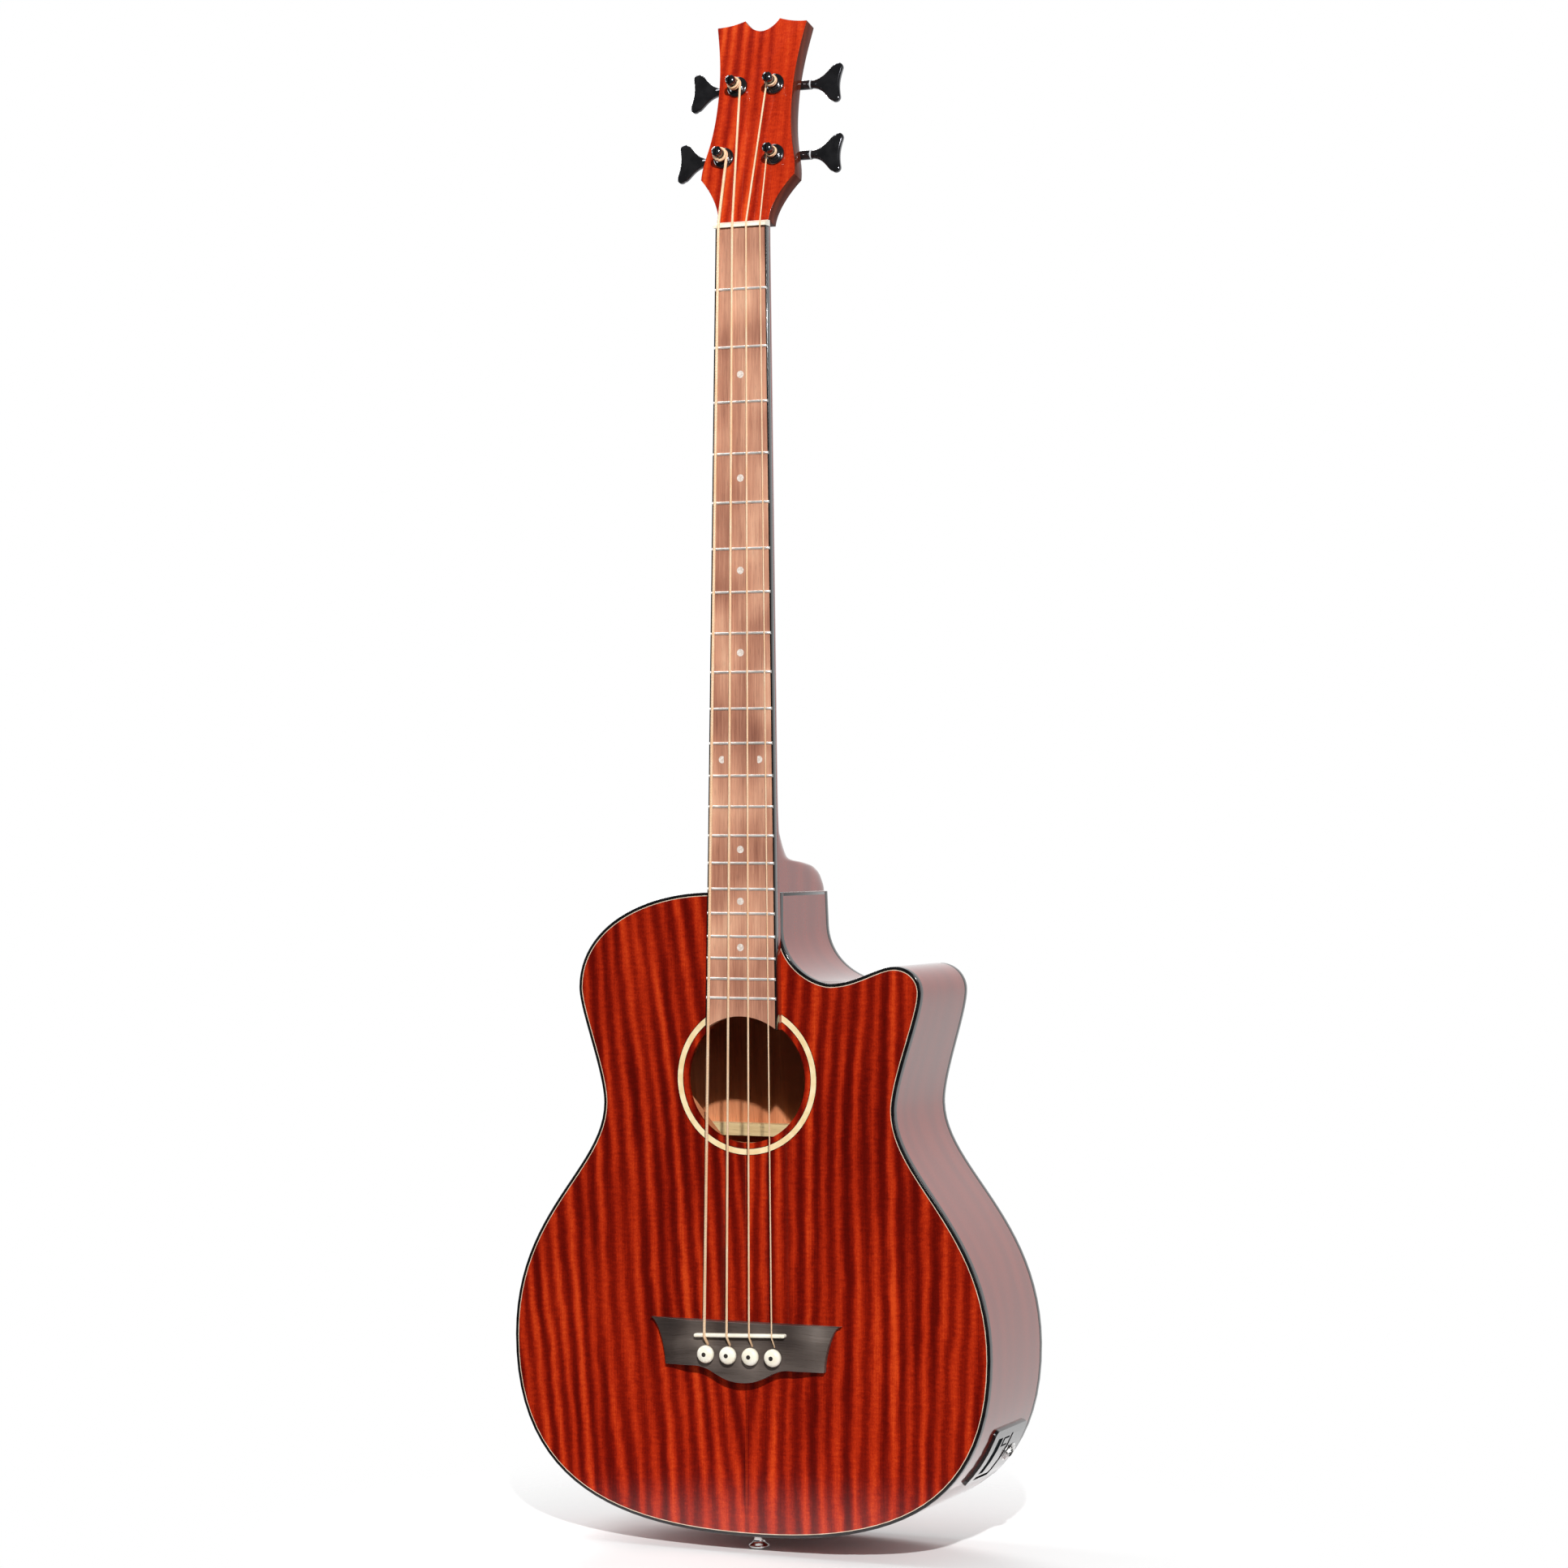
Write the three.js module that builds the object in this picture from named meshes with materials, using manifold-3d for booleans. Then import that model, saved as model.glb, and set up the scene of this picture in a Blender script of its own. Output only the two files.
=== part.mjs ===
// Acoustic bass guitar with four strings, a cutaway body and worm-geared tuners.
// Millimetres. +X points to the viewer's right, +Y into the body, +Z up along the neck.
// Inside this file z = 0 is the fret at which the neck meets the body, y = 0 is the
// soundboard's front face and x = 0 is the centre line. The group that is exported is
// lowered so that its origin is the point where a yoke hanger catches the headstock.

import * as THREE from 'three';
import { mergeVertices } from 'three/addons/utils/BufferGeometryUtils.js';
import Module from 'manifold-3d';

const wasm = await Module();
wasm.setup();

// Clearances and cutting allowances
const seatGap = 0.3;
const cutOverrun = 4;
const weldOverlap = 0.4;
const mergeDistance = 1e-4;
const speckSize = 0.02;

// Steps on curves
const bodyChord = 34;
const fewestCurveSteps = 4;
const headCurveSteps = 4;
const roundSteps = 16;
const smallRoundSteps = 10;
const cornerSteps = 2;
const backColumns = 5;
const backRows = 6;
const neckSectionSteps = 10;
const boardArchSteps = 3;

// Scale and frets
const scaleLength = 863.6;
const fretCount = 21;
const bodyJointFret = 16;
const octaveFrets = 12;
const saddleSetback = 8;

const fretFromNut = (fret) => scaleLength * (1 - 2 ** (-fret / octaveFrets));
const nutZ = fretFromNut(bodyJointFret);
const fretZ = (fret) => nutZ - fretFromNut(fret);
const saddleZ = nutZ - scaleLength - saddleSetback;

// Neck and fretboard
const nutWidth = 43.5;
const neckWidthAtBody = 58;
const boardThickness = 7;
const boardRadius = 400;
const boardBindingWidth = 2;
const boardRise = 12;
const neckDepthAtNut = 15.5;
const neckDepthAtBody = 18.5;
const heelHeight = 24.5;
const shaftSquareness = 2.2;

const boardFrontY = -boardRise;
const boardBackY = boardFrontY + boardThickness;
const neckFrontY = boardBackY + seatGap;
const boardHalfWidth = (z) => THREE.MathUtils.mapLinear(z, nutZ, 0, nutWidth / 2, neckWidthAtBody / 2);
const boardArch = (x) => boardRadius - Math.sqrt(boardRadius ** 2 - x ** 2);

// Body outline
const bodySetback = 2.8;
const bodyLength = 508.6;
const lowerBoutWidth = 409;
const waistWidth = 250;
const upperBoutWidth = 294.4;
const cutawayX = 71;
const hornX = 125;

// How far down the body each bend of its outline lies, as a share of its length
const upperBoutShare = 0.1518;
const waistShare = 0.3327;
const lowerBoutShare = 0.7063;
const cutawayShare = 0.1398;
const hornShare = 0.1117;
const cutawayCornerShare = 0.0535;

const bodyTopZ = -bodySetback;
const bodyBottomZ = bodyTopZ - bodyLength;
const downBody = (share) => bodyTopZ - bodyLength * share;
const cornerX = neckWidthAtBody / 2;

// Body depth
const heelSideDepth = 94;
const tailSideDepth = 124;
const backCrown = 4;
const soundboardThickness = 3.2;
const backThickness = 3;
const sideThickness = 2.6;
const liningWidth = 6;
const liningHeight = 14;
const bindingWidth = 2.2;
const bindingHeight = 6;
const cornerStripHeight = 3;

// Soundhole and its ring
const soundholeRadius = 50.2;
const boardTailLength = 14.2;
const ringInnerRadius = 55.1;
const ringWidth = 4.5;
const ringDepth = 1;

const soundholeZ = fretZ(fretCount) - boardTailLength - soundholeRadius;

// Bridge, saddle and pins
const bridgeHeight = 11;
const bridgeTipHeight = 4.5;
const saddleInset = 9.2;
const bridgeWidth = 163.6;
const bridgeCentreWidth = 90;
const bridgeWingDepth = 36.5;
const bridgeDepth = 47.5;
const bridgePlateThickness = 3;
const saddleLength = 79;
const saddleThickness = 3.4;
const saddleSlotDepth = 6;
const saddleTopRise = 16;
const pinSetback = 16.5;
const pinHeadRadius = 7;
const pinHeadRise = 12.6;
const pinHeadThickness = 3;
const pinDomeHeight = 3;
const pinShankRadius = 2.6;
const pinTipRadius = 1.9;
const pinTipDepth = 14;

const bridgeTopZ = saddleZ + saddleInset;

// Strings, from the thickest to the thinnest
const stringRadii = [1.33, 1.08, 0.83, 0.57];
const stringTurns = [1.75, 2, 2, 2];
const stringSpacingAtSaddle = 19.2;
const stringSpacingAtNut = 11.8;
const stringRiseAtNut = 13.7;
const stringRiseAtSaddle = 16.3;
const stringSides = 6;
const stepsPerTurn = 24;
const turnGap = 0.46;
const ballOverhang = 0.5;
const ballLength = 5;
const stringPlaces = [-1.5, -0.5, 0.5, 1.5];

// Nut
const nutThickness = 5;
const nutRise = 14.5;
const nutOverhang = 0.5;

// Headstock
const headTilt = THREE.MathUtils.degToRad(13);
const headThickness = 15;
const headRise = 6.5;
const headLedge = 1;
const headWidestHalf = 40.3;
const headWidestS = 37.3;
const headWaistHalf = 31.9;
const headWaistS = 108.3;
const headTopHalf = 38.6;
const headTopS = 167;
const headPeakHalf = 14.8;
const headPeakS = 171;
const headDipS = 161.3;

const headFaceY = -headRise;
const headZ = nutZ + nutThickness + seatGap;
const hangerHeight = 22;

// Tuners, in the order of the strings: their posts' places on the headstock
const upperPostX = 15.9;
const upperPostS = 114.3;
const lowerPostX = 21.7;
const lowerPostS = 54.4;
const tunerPlaces = [
  { side: -1, x: -lowerPostX, s: lowerPostS },
  { side: -1, x: -upperPostX, s: upperPostS },
  { side: 1, x: upperPostX, s: upperPostS },
  { side: 1, x: lowerPostX, s: lowerPostS },
];
const bushingRadius = 5;
const collarRadius = 8.5;
const collarThickness = 2.2;
const coneHeight = 1.2;
const coneTopRadius = 6;
const postRadius = 3;
const postFootRadius = 4;
const postFootHeight = 0.8;
const postWaistRadius = 3.3;
const postWaistLength = 8.8;
const postKnobRadius = 4.1;
const postKnobHeight = 4.2;
const postSlotWidth = 1.6;
const postSlotDepth = 3.2;
const runningGap = 0.3;

// Worm drive inside each tuner housing
const wheelTeeth = 16;
const wheelPitchRadius = 4.4;
const wormPitchRadius = 2.1;
const toothAddendum = 0.5;
const toothDedendum = 0.7;
const wheelThickness = 4.2;
const wormTurns = 3;
const wormStepsPerTurn = 8;
const wheelToothRootShare = 0.58;
const wheelToothTipShare = 0.2;
const threadRootShare = 0.6;
const threadTipShare = 0.22;
const gearSpread = 0.15;

const toothPitch = (2 * Math.PI * wheelPitchRadius) / wheelTeeth;
const wormOffset = wheelPitchRadius + wormPitchRadius + gearSpread;
const wormOuterRadius = wormPitchRadius + toothAddendum;
const wormCoreRadius = wormPitchRadius - toothDedendum;
const wheelOuterRadius = wheelPitchRadius + toothAddendum;
const wheelRootRadius = wheelPitchRadius - toothDedendum;

// Tuner housing and key
const housingDepth = 10.4;
const housingWall = 1.2;
const housingInner = 9.5;
const housingOuter = 11;
const housingLow = 7;
const housingCorner = 2.5;
const keyReach = 22;
const shaftRadius = 2.4;
const shaftSleeveRadius = 3.8;
const keyWasherRadius = 3.9;
const keyWasherThickness = 1;
const keyLength = 26.5;
const keyThickness = 4.6;
const keyBevel = 1.1;
const keyNeckHalf = 3.1;
const keyLobeRadius = 3.9;
const keyLobeSpread = 12.6;

const gearDepth = headThickness + seatGap + housingDepth / 2;

// Strap button
const strapButtonY = 25;
const strapBaseRadius = 8.4;
const strapWaistRadius = 4.6;
const strapFlangeRadius = 8.2;
const strapEndRadius = 5;
const strapBaseHeight = 2.6;
const strapButtonLength = 13;
const strapScrewRadius = 1.8;
const strapScrewLength = 20;

// Output jack and battery box on the lower right side
const panelHighShare = 0.8252;
const panelLowShare = 0.9068;
const panelFrontY = 36;
const panelDepthWidth = 72;
const panelAlong = 53;
const panelCorner = 6;
const panelRise = 2.6;
const panelFrameWall = 2;
const panelFloorInset = 3.4;
const doorFrontInset = 11;
const doorWidth = 32;
const doorAlong = 40;
const doorRise = 1.8;
const doorInset = 0.6;
const doorGap = 0.35;
const hingeRadius = 1.6;
const hingePinRadius = 0.8;
const hingePinLength = 1.4;
const doorGrooveWidth = 3;
const doorGrooveDepth = 0.8;
const doorGrooveLength = 27;
const doorNotchWidth = 8;
const doorNotchLength = 7;
const bayWidth = 28;
const bayAlong = 20;
const bayDepth = 50;
const bayWall = 1.5;
const jackInset = 15;
const jackNutRadius = 7;
const jackNutThickness = 2;
const jackBarrelRadius = 4.8;
const jackLipHeight = 0.8;
const jackBoreRadius = 3.3;
const jackLength = 30;
const jackRimHoleRadius = 8;

// Blocks and braces inside the body
const neckBlockHalf = 38;
const neckBlockHeight = 48;
const tailBlockHalf = 40;
const tailBlockHeight = 24;
const braceWidth = 8;
const braceHeight = 12;
const backBraceWidth = 10;
const backBraceHeight = 13;
const backStripWidth = 22;
const backStripThickness = 2.4;

// Colours
const stripedWood = { color: 0x9a2a10, roughness: 0.18, metalness: 0 };
const headWood = { color: 0xc8461c, roughness: 0.2, metalness: 0 };
const paleWood = { color: 0xc8925e, roughness: 0.7, metalness: 0 };
const boardWood = { color: 0xad7554, roughness: 0.55, metalness: 0 };
const bridgeWood = { color: 0x4a4240, roughness: 0.5, metalness: 0 };
const blackPlastic = { color: 0x101012, roughness: 0.2, metalness: 0 };
const creamInlay = { color: 0xf0d9a8, roughness: 0.35, metalness: 0 };
const bone = { color: 0xf6efdc, roughness: 0.4, metalness: 0 };
const nickel = { color: 0xd8d6d0, roughness: 0.22, metalness: 1 };
const bronze = { color: 0xd9a870, roughness: 0.35, metalness: 1 };
const blackChrome = { color: 0x18181a, roughness: 0.16, metalness: 0.9 };
const chrome = { color: 0xdcdde0, roughness: 0.1, metalness: 1 };

// Solids and meshes

const flat = (x, y) => new THREE.Vector2(x, y);
const space = (x, y, z) => new THREE.Vector3(x, y, z);

function signedVolume(geometry) {
  const position = geometry.attributes.position;
  const corners = [space(0, 0, 0), space(0, 0, 0), space(0, 0, 0)];
  let volume = 0;
  for (let i = 0; i < geometry.index.count; i += 3) {
    corners.forEach((corner, k) => corner.fromBufferAttribute(position, geometry.index.getX(i + k)));
    volume += corners[0].dot(corners[1].clone().cross(corners[2]));
  }
  return volume;
}

// One closed skin with shared corners and its faces turned outwards.
function closedSkin(geometry) {
  const bare = geometry.clone();
  bare.deleteAttribute('normal');
  bare.deleteAttribute('uv');
  const skin = mergeVertices(bare, mergeDistance);
  const corners = Array.from(skin.index.array);
  const kept = [];
  for (let i = 0; i < corners.length; i += 3) {
    const [a, b, c] = corners.slice(i, i + 3);
    if (a !== b && b !== c && c !== a) kept.push(a, b, c);
  }
  skin.setIndex(kept);
  if (signedVolume(skin) < 0) {
    for (let i = 0; i < kept.length; i += 3) {
      [kept[i + 1], kept[i + 2]] = [kept[i + 2], kept[i + 1]];
    }
    skin.setIndex(kept);
  }
  return skin;
}

function solid(geometry) {
  const skin = closedSkin(geometry);
  return new wasm.Manifold(new wasm.Mesh({
    numProp: 3,
    vertProperties: new Float32Array(skin.attributes.position.array),
    triVerts: new Uint32Array(skin.index.array),
  }));
}

const joined = (...bodies) => bodies.reduce((whole, body) => whole.add(body));
const cut = (body, ...tools) => tools.reduce((whole, tool) => whole.subtract(tool), body);

// The mesh of a solid, without the specks that a cut leaves where two faces nearly meet.
function geometryOf(body) {
  const { vertProperties, triVerts } = body.getMesh();
  const corners = [];
  for (let i = 0; i < vertProperties.length; i += 3) {
    corners.push(space(0, 0, 0).fromArray(vertProperties, i));
  }
  const first = corners.map((corner) => (
    corners.findIndex((other) => other.distanceTo(corner) < speckSize)
  ));
  const geometry = new THREE.BufferGeometry();
  geometry.setAttribute('position', new THREE.BufferAttribute(vertProperties, 3));
  geometry.setIndex(Array.from(triVerts, (i) => first[i]));
  const skin = closedSkin(geometry);
  skin.computeVertexNormals();
  return skin;
}

function addPiece(parent, name, body, finish) {
  const geometry = body.isBufferGeometry ? closedSkin(body) : geometryOf(body);
  const mesh = new THREE.Mesh(geometry, new THREE.MeshStandardMaterial(finish));
  mesh.name = name;
  parent.add(mesh);
  return mesh;
}

// An outline drawn in x and z, made solid between two depths y.
function slab(shape, frontY, backY, steps = roundSteps) {
  const settings = { depth: backY - frontY, bevelEnabled: false, curveSegments: steps };
  return new THREE.ExtrudeGeometry(shape, settings).rotateX(Math.PI / 2).translate(0, backY, 0);
}

// An outline drawn in y and z, made solid between two places x.
function prismAlongX(shape, fromX, toX, steps = cornerSteps) {
  const settings = { depth: toX - fromX, bevelEnabled: false, curveSegments: steps };
  const geometry = new THREE.ExtrudeGeometry(shape, settings);
  return geometry.rotateY(Math.PI / 2).rotateX(Math.PI / 2).translate(fromX, 0, 0);
}

// An outline drawn in x and y, made solid between two heights z.
function prismAlongZ(shape, fromZ, toZ, steps = cornerSteps) {
  const settings = { depth: toZ - fromZ, bevelEnabled: false, curveSegments: steps };
  return new THREE.ExtrudeGeometry(shape, settings).translate(0, 0, fromZ);
}

function box(low, high) {
  const size = high.clone().sub(low);
  const middle = low.clone().add(high).multiplyScalar(0.5);
  return new THREE.BoxGeometry(size.x, size.y, size.z).translate(middle.x, middle.y, middle.z);
}

function rectangle(left, bottom, right, top) {
  return new THREE.Shape([flat(left, bottom), flat(right, bottom), flat(right, top), flat(left, top)]);
}

function roundedRectangle(left, bottom, right, top, radius) {
  const shape = new THREE.Shape();
  shape.moveTo(left + radius, bottom);
  shape.lineTo(right - radius, bottom);
  shape.absarc(right - radius, bottom + radius, radius, -Math.PI / 2, 0);
  shape.lineTo(right, top - radius);
  shape.absarc(right - radius, top - radius, radius, 0, Math.PI / 2);
  shape.lineTo(left + radius, top);
  shape.absarc(left + radius, top - radius, radius, Math.PI / 2, Math.PI);
  shape.lineTo(left, bottom + radius);
  shape.absarc(left + radius, bottom + radius, radius, Math.PI, Math.PI * 1.5);
  return shape;
}

// A round bar along y. The other two axes follow with the two functions after it.
function barAlongY(radius, fromY, toY, x, z, steps = smallRoundSteps) {
  const bar = new THREE.CylinderGeometry(radius, radius, toY - fromY, steps);
  return bar.translate(x, (fromY + toY) / 2, z);
}

function barAlongX(radius, fromX, toX, y, z, steps = smallRoundSteps) {
  const bar = new THREE.CylinderGeometry(radius, radius, toX - fromX, steps);
  return bar.rotateZ(Math.PI / 2).translate((fromX + toX) / 2, y, z);
}

function barAlongZ(radius, fromZ, toZ, x, y, steps = smallRoundSteps) {
  const bar = new THREE.CylinderGeometry(radius, radius, toZ - fromZ, steps);
  return bar.rotateX(Math.PI / 2).translate(x, y, (fromZ + toZ) / 2);
}

// A turned piece: its profile gives radius and place along the axis, ending on the axis.
function turned(profile, steps = smallRoundSteps) {
  return new THREE.LatheGeometry(profile.map(([radius, along]) => flat(radius, along)), steps);
}

// The triangles of a flat section, which turn the same way as its outline.
function sectionFaces(section) {
  const faces = THREE.ShapeUtils.triangulateShape(section, []);
  const turn = (points) => Math.sign(THREE.ShapeUtils.area(points));
  const alike = turn(faces[0].map((i) => section[i])) === turn(section);
  return alike ? faces : faces.map((face) => face.slice().reverse());
}

// A skin through rings of as many points each, closed by flat ends. A section that isn't
// convex is given too, and shapes the ends.
function loft(rings, section) {
  const count = rings[0].length;
  const faces = section
    ? sectionFaces(section)
    : rings[0].slice(2).map((_, i) => [0, i + 1, i + 2]);
  const positions = rings.flat().flatMap((point) => point.toArray());
  const index = [];
  for (let ring = 0; ring + 1 < rings.length; ring += 1) {
    for (let i = 0; i < count; i += 1) {
      const a = ring * count + i;
      const b = ring * count + (i + 1) % count;
      index.push(a, b, b + count, a, b + count, a + count);
    }
  }
  const last = (rings.length - 1) * count;
  faces.forEach(([a, b, c]) => index.push(c, b, a, last + a, last + b, last + c));
  const geometry = new THREE.BufferGeometry();
  geometry.setAttribute('position', new THREE.Float32BufferAttribute(positions, 3));
  geometry.setIndex(index);
  return geometry;
}

// A round tube through points, each with its own radius, without any twist.
function tubeRings(points, radii, sides) {
  const tangents = points.map((point, i) => {
    const before = points[Math.max(i - 1, 0)];
    const after = points[Math.min(i + 1, points.length - 1)];
    return after.clone().sub(before).normalize();
  });
  let side = space(1, 0, 0).projectOnPlane(tangents[0]).normalize();
  return points.map((point, i) => {
    side = side.projectOnPlane(tangents[i]).normalize();
    const up = tangents[i].clone().cross(side);
    return Array.from({ length: sides }, (_, k) => {
      const angle = (2 * Math.PI * k) / sides;
      return point.clone()
        .addScaledVector(side, radii[i] * Math.cos(angle))
        .addScaledVector(up, radii[i] * Math.sin(angle));
    });
  });
}

// Outlines

// A cubic curve whose two handles each run along one axis, as shares of the span.
function sweep(path, end, startAxis, startShare, endAxis, endShare) {
  const start = path.currentPoint.clone();
  const span = end.clone().sub(start);
  const first = start.clone();
  const second = end.clone();
  first[startAxis] += span[startAxis] * startShare;
  second[endAxis] -= span[endAxis] * endShare;
  path.bezierCurveTo(first.x, first.y, second.x, second.y, end.x, end.y);
}

// The corners of a closed path, with as many on each curve as its length asks for.
function loopPoints(path, chord) {
  const points = path.curves.flatMap((curve) => {
    const steps = Math.max(fewestCurveSteps, Math.round(curve.getLength() / chord));
    return curve.getPoints(curve.isLineCurve ? 1 : steps).slice(0, -1);
  });
  return points.reverse();
}

function distanceToLoop(point, loop) {
  const onEdge = loop.map((start, i) => {
    const end = loop[(i + 1) % loop.length];
    const edge = end.clone().sub(start);
    const share = THREE.MathUtils.clamp(point.clone().sub(start).dot(edge) / edge.lengthSq(), 0, 1);
    return point.distanceTo(start.clone().addScaledVector(edge, share));
  });
  return Math.min(...onEdge);
}

// Moves every corner of a loop inwards, or outwards by a negative distance, and leaves out
// those that a tight curve would push across each other.
function inset(points, distance) {
  const turn = Math.sign(THREE.ShapeUtils.area(points));
  const nearestShare = 0.97;
  const moved = points.map((point, i) => {
    const before = point.clone().sub(points.at(i - 1)).normalize();
    const after = points[(i + 1) % points.length].clone().sub(point).normalize();
    const across = flat(-before.y - after.y, before.x + after.x).normalize();
    const stretch = across.dot(flat(-before.y, before.x));
    return point.clone().addScaledVector(across, (turn * distance) / stretch);
  });
  return moved.filter((point) => (
    distanceToLoop(point, points) >= Math.abs(distance) * nearestShare
  ));
}

function bodyOutline() {
  const lowerZ = downBody(lowerBoutShare);
  const waistZ = downBody(waistShare);
  const upperZ = downBody(upperBoutShare);
  const path = new THREE.Shape();
  path.moveTo(0, bodyBottomZ);
  sweep(path, flat(-lowerBoutWidth / 2, lowerZ), 'x', 0.52, 'y', 0.84);
  sweep(path, flat(-waistWidth / 2, waistZ), 'y', 0.53, 'y', 0.28);
  sweep(path, flat(-upperBoutWidth / 2, upperZ), 'y', 0.26, 'y', 0.2);
  sweep(path, flat(-cornerX, bodyTopZ), 'y', 0.63, 'x', 0.52);
  path.lineTo(cornerX, bodyTopZ);
  path.lineTo(cornerX, downBody(cutawayCornerShare));
  sweep(path, flat(cutawayX, downBody(cutawayShare)), 'y', 0.7, 'x', 0.3);
  sweep(path, flat(hornX, downBody(hornShare)), 'x', 0.4, 'x', 0.26);
  sweep(path, flat(upperBoutWidth / 2, upperZ), 'x', 0.6, 'y', 0.54);
  sweep(path, flat(waistWidth / 2, waistZ), 'y', 0.2, 'y', 0.26);
  sweep(path, flat(lowerBoutWidth / 2, lowerZ), 'y', 0.28, 'y', 0.53);
  sweep(path, flat(0, bodyBottomZ), 'y', 0.84, 'x', 0.52);
  return loopPoints(path, bodyChord);
}

const outline = bodyOutline();
const outlineShape = (distance) => new THREE.Shape(inset(outline, distance));

function ringShape(outerInset, innerInset) {
  const shape = outlineShape(outerInset);
  shape.holes.push(new THREE.Path(inset(outline, innerInset)));
  return shape;
}

// The back is arched along its length and across it.
function backY(x, z) {
  const share = THREE.MathUtils.clamp((bodyTopZ - z) / bodyLength, 0, 1);
  const side = THREE.MathUtils.lerp(heelSideDepth, tailSideDepth, share * (2 - share));
  return side + backCrown * (1 - (x / (lowerBoutWidth / 2)) ** 2);
}

// A block over the whole plan of the body between two curved faces.
function blockBetween(frontAt, backAt) {
  const halfSpan = lowerBoutWidth / 2 + 3 * cutOverrun;
  const lowZ = bodyBottomZ - cutOverrun;
  const highZ = bodyTopZ + cutOverrun;
  const count = backColumns + 1;
  const positions = [];
  for (const depthAt of [frontAt, backAt]) {
    for (let row = 0; row <= backRows; row += 1) {
      for (let column = 0; column <= backColumns; column += 1) {
        const x = THREE.MathUtils.lerp(-halfSpan, halfSpan, column / backColumns);
        const z = THREE.MathUtils.lerp(lowZ, highZ, row / backRows);
        positions.push(x, depthAt(x, z), z);
      }
    }
  }
  const layer = count * (backRows + 1);
  const index = [];
  const quad = (a, b, c, d) => index.push(a, b, c, a, c, d);
  for (let row = 0; row < backRows; row += 1) {
    for (let column = 0; column < backColumns; column += 1) {
      const corner = row * count + column;
      quad(corner, corner + 1, corner + count + 1, corner + count);
      quad(layer + corner, layer + corner + count, layer + corner + count + 1, layer + corner + 1);
    }
    const left = row * count;
    const right = left + backColumns;
    quad(left, left + count, layer + left + count, layer + left);
    quad(right + count, right, layer + right, layer + right + count);
  }
  for (let column = 0; column < backColumns; column += 1) {
    const top = backRows * count + column;
    quad(column + 1, column, layer + column, layer + column + 1);
    quad(top, top + 1, layer + top + 1, layer + top);
  }
  const geometry = new THREE.BufferGeometry();
  geometry.setAttribute('position', new THREE.Float32BufferAttribute(positions, 3));
  geometry.setIndex(index);
  return solid(geometry);
}

const backMinus = (distance) => (x, z) => backY(x, z) - distance;
const depth = (y) => () => y;
const farBack = tailSideDepth + backCrown + cutOverrun;

// Frame of the jack panel: x points out of the side, y stays, z runs up along the side.
function sidePoint(z) {
  const lower = outline.filter((point) => point.x > 0 && point.y < downBody(waistShare));
  const above = lower.filter((point) => point.y >= z).sort((a, b) => a.y - b.y)[0];
  const below = lower.filter((point) => point.y < z).sort((a, b) => b.y - a.y)[0];
  return flat(THREE.MathUtils.mapLinear(z, below.y, above.y, below.x, above.x), z);
}

const panelHigh = sidePoint(downBody(panelHighShare));
const panelLow = sidePoint(downBody(panelLowShare));
const panelMiddle = panelHigh.clone().add(panelLow).multiplyScalar(0.5);
const panelTurn = Math.atan2(panelHigh.x - panelLow.x, panelHigh.y - panelLow.y);
const panelMatrix = new THREE.Matrix4()
  .makeTranslation(panelMiddle.x, 0, panelMiddle.y)
  .multiply(new THREE.Matrix4().makeRotationY(panelTurn));
const onPanel = (geometry) => geometry.applyMatrix4(panelMatrix);

// The side's surface, moved out by a rise, as a solid over the whole depth of the body.
const insideSide = (rise) => solid(slab(outlineShape(-rise), -cutOverrun, farBack));

const doorFrontY = panelFrontY + doorFrontInset;
const doorBackY = doorFrontY + doorWidth;
const doorMiddleY = (doorFrontY + doorBackY) / 2;
const jackY = panelFrontY + panelDepthWidth - jackInset;

function panelBox(halfAlong, frontY, backEdgeY, deepest, radius = 0) {
  const shape = radius > 0
    ? roundedRectangle(frontY, -halfAlong, backEdgeY, halfAlong, radius)
    : rectangle(frontY, -halfAlong, backEdgeY, halfAlong);
  return solid(onPanel(prismAlongX(shape, -deepest, panelFrameReach)));
}

const panelFrameReach = panelAlong / 2;

// Body of the guitar

// Each pin's hole, and beside it the slot that the string runs in: straight through the
// soundboard and the plate under it, and ramped towards the saddle in the bridge.
function pinHoles() {
  const frontY = -bridgeHeight - cutOverrun;
  const insideY = innerFrontY + bridgePlateThickness + cutOverrun;
  return stringPlaces.map((place, i) => {
    const x = place * stringSpacingAtSaddle;
    const half = stringRadii[i] + seatGap;
    const slotZ = pinZ + stringOffset(i) + half;
    const rampZ = slotZ + bridgeHeight / 2;
    const slot = new THREE.Shape([
      flat(frontY, pinZ), flat(frontY, rampZ), flat(-bridgeHeight, rampZ),
      flat(-bridgeHeight * 0.3, slotZ), flat(insideY, slotZ), flat(insideY, pinZ),
    ]);
    const hole = barAlongY(pinShankRadius + seatGap, frontY, insideY, x, pinZ);
    return joined(solid(hole), solid(prismAlongX(slot, x - half, x + half)));
  });
}

const pinZ = saddleZ - pinSetback;
const stringOffset = (i) => pinShankRadius + seatGap + stringRadii[i];

function circlePath(radius, x, z) {
  return new THREE.Path().absarc(x, z, radius, 0, 2 * Math.PI);
}

function soundboard() {
  const shape = outlineShape(bindingWidth + seatGap);
  shape.holes.push(circlePath(soundholeRadius, 0, soundholeZ));
  const channel = new THREE.Shape();
  channel.absarc(0, soundholeZ, ringInnerRadius + ringWidth + seatGap, 0, 2 * Math.PI);
  channel.holes.push(circlePath(ringInnerRadius - seatGap, 0, soundholeZ));
  return cut(
    solid(slab(shape, 0, soundboardThickness)),
    solid(slab(channel, -cutOverrun, ringDepth + seatGap)),
    ...pinHoles(),
  );
}

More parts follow.
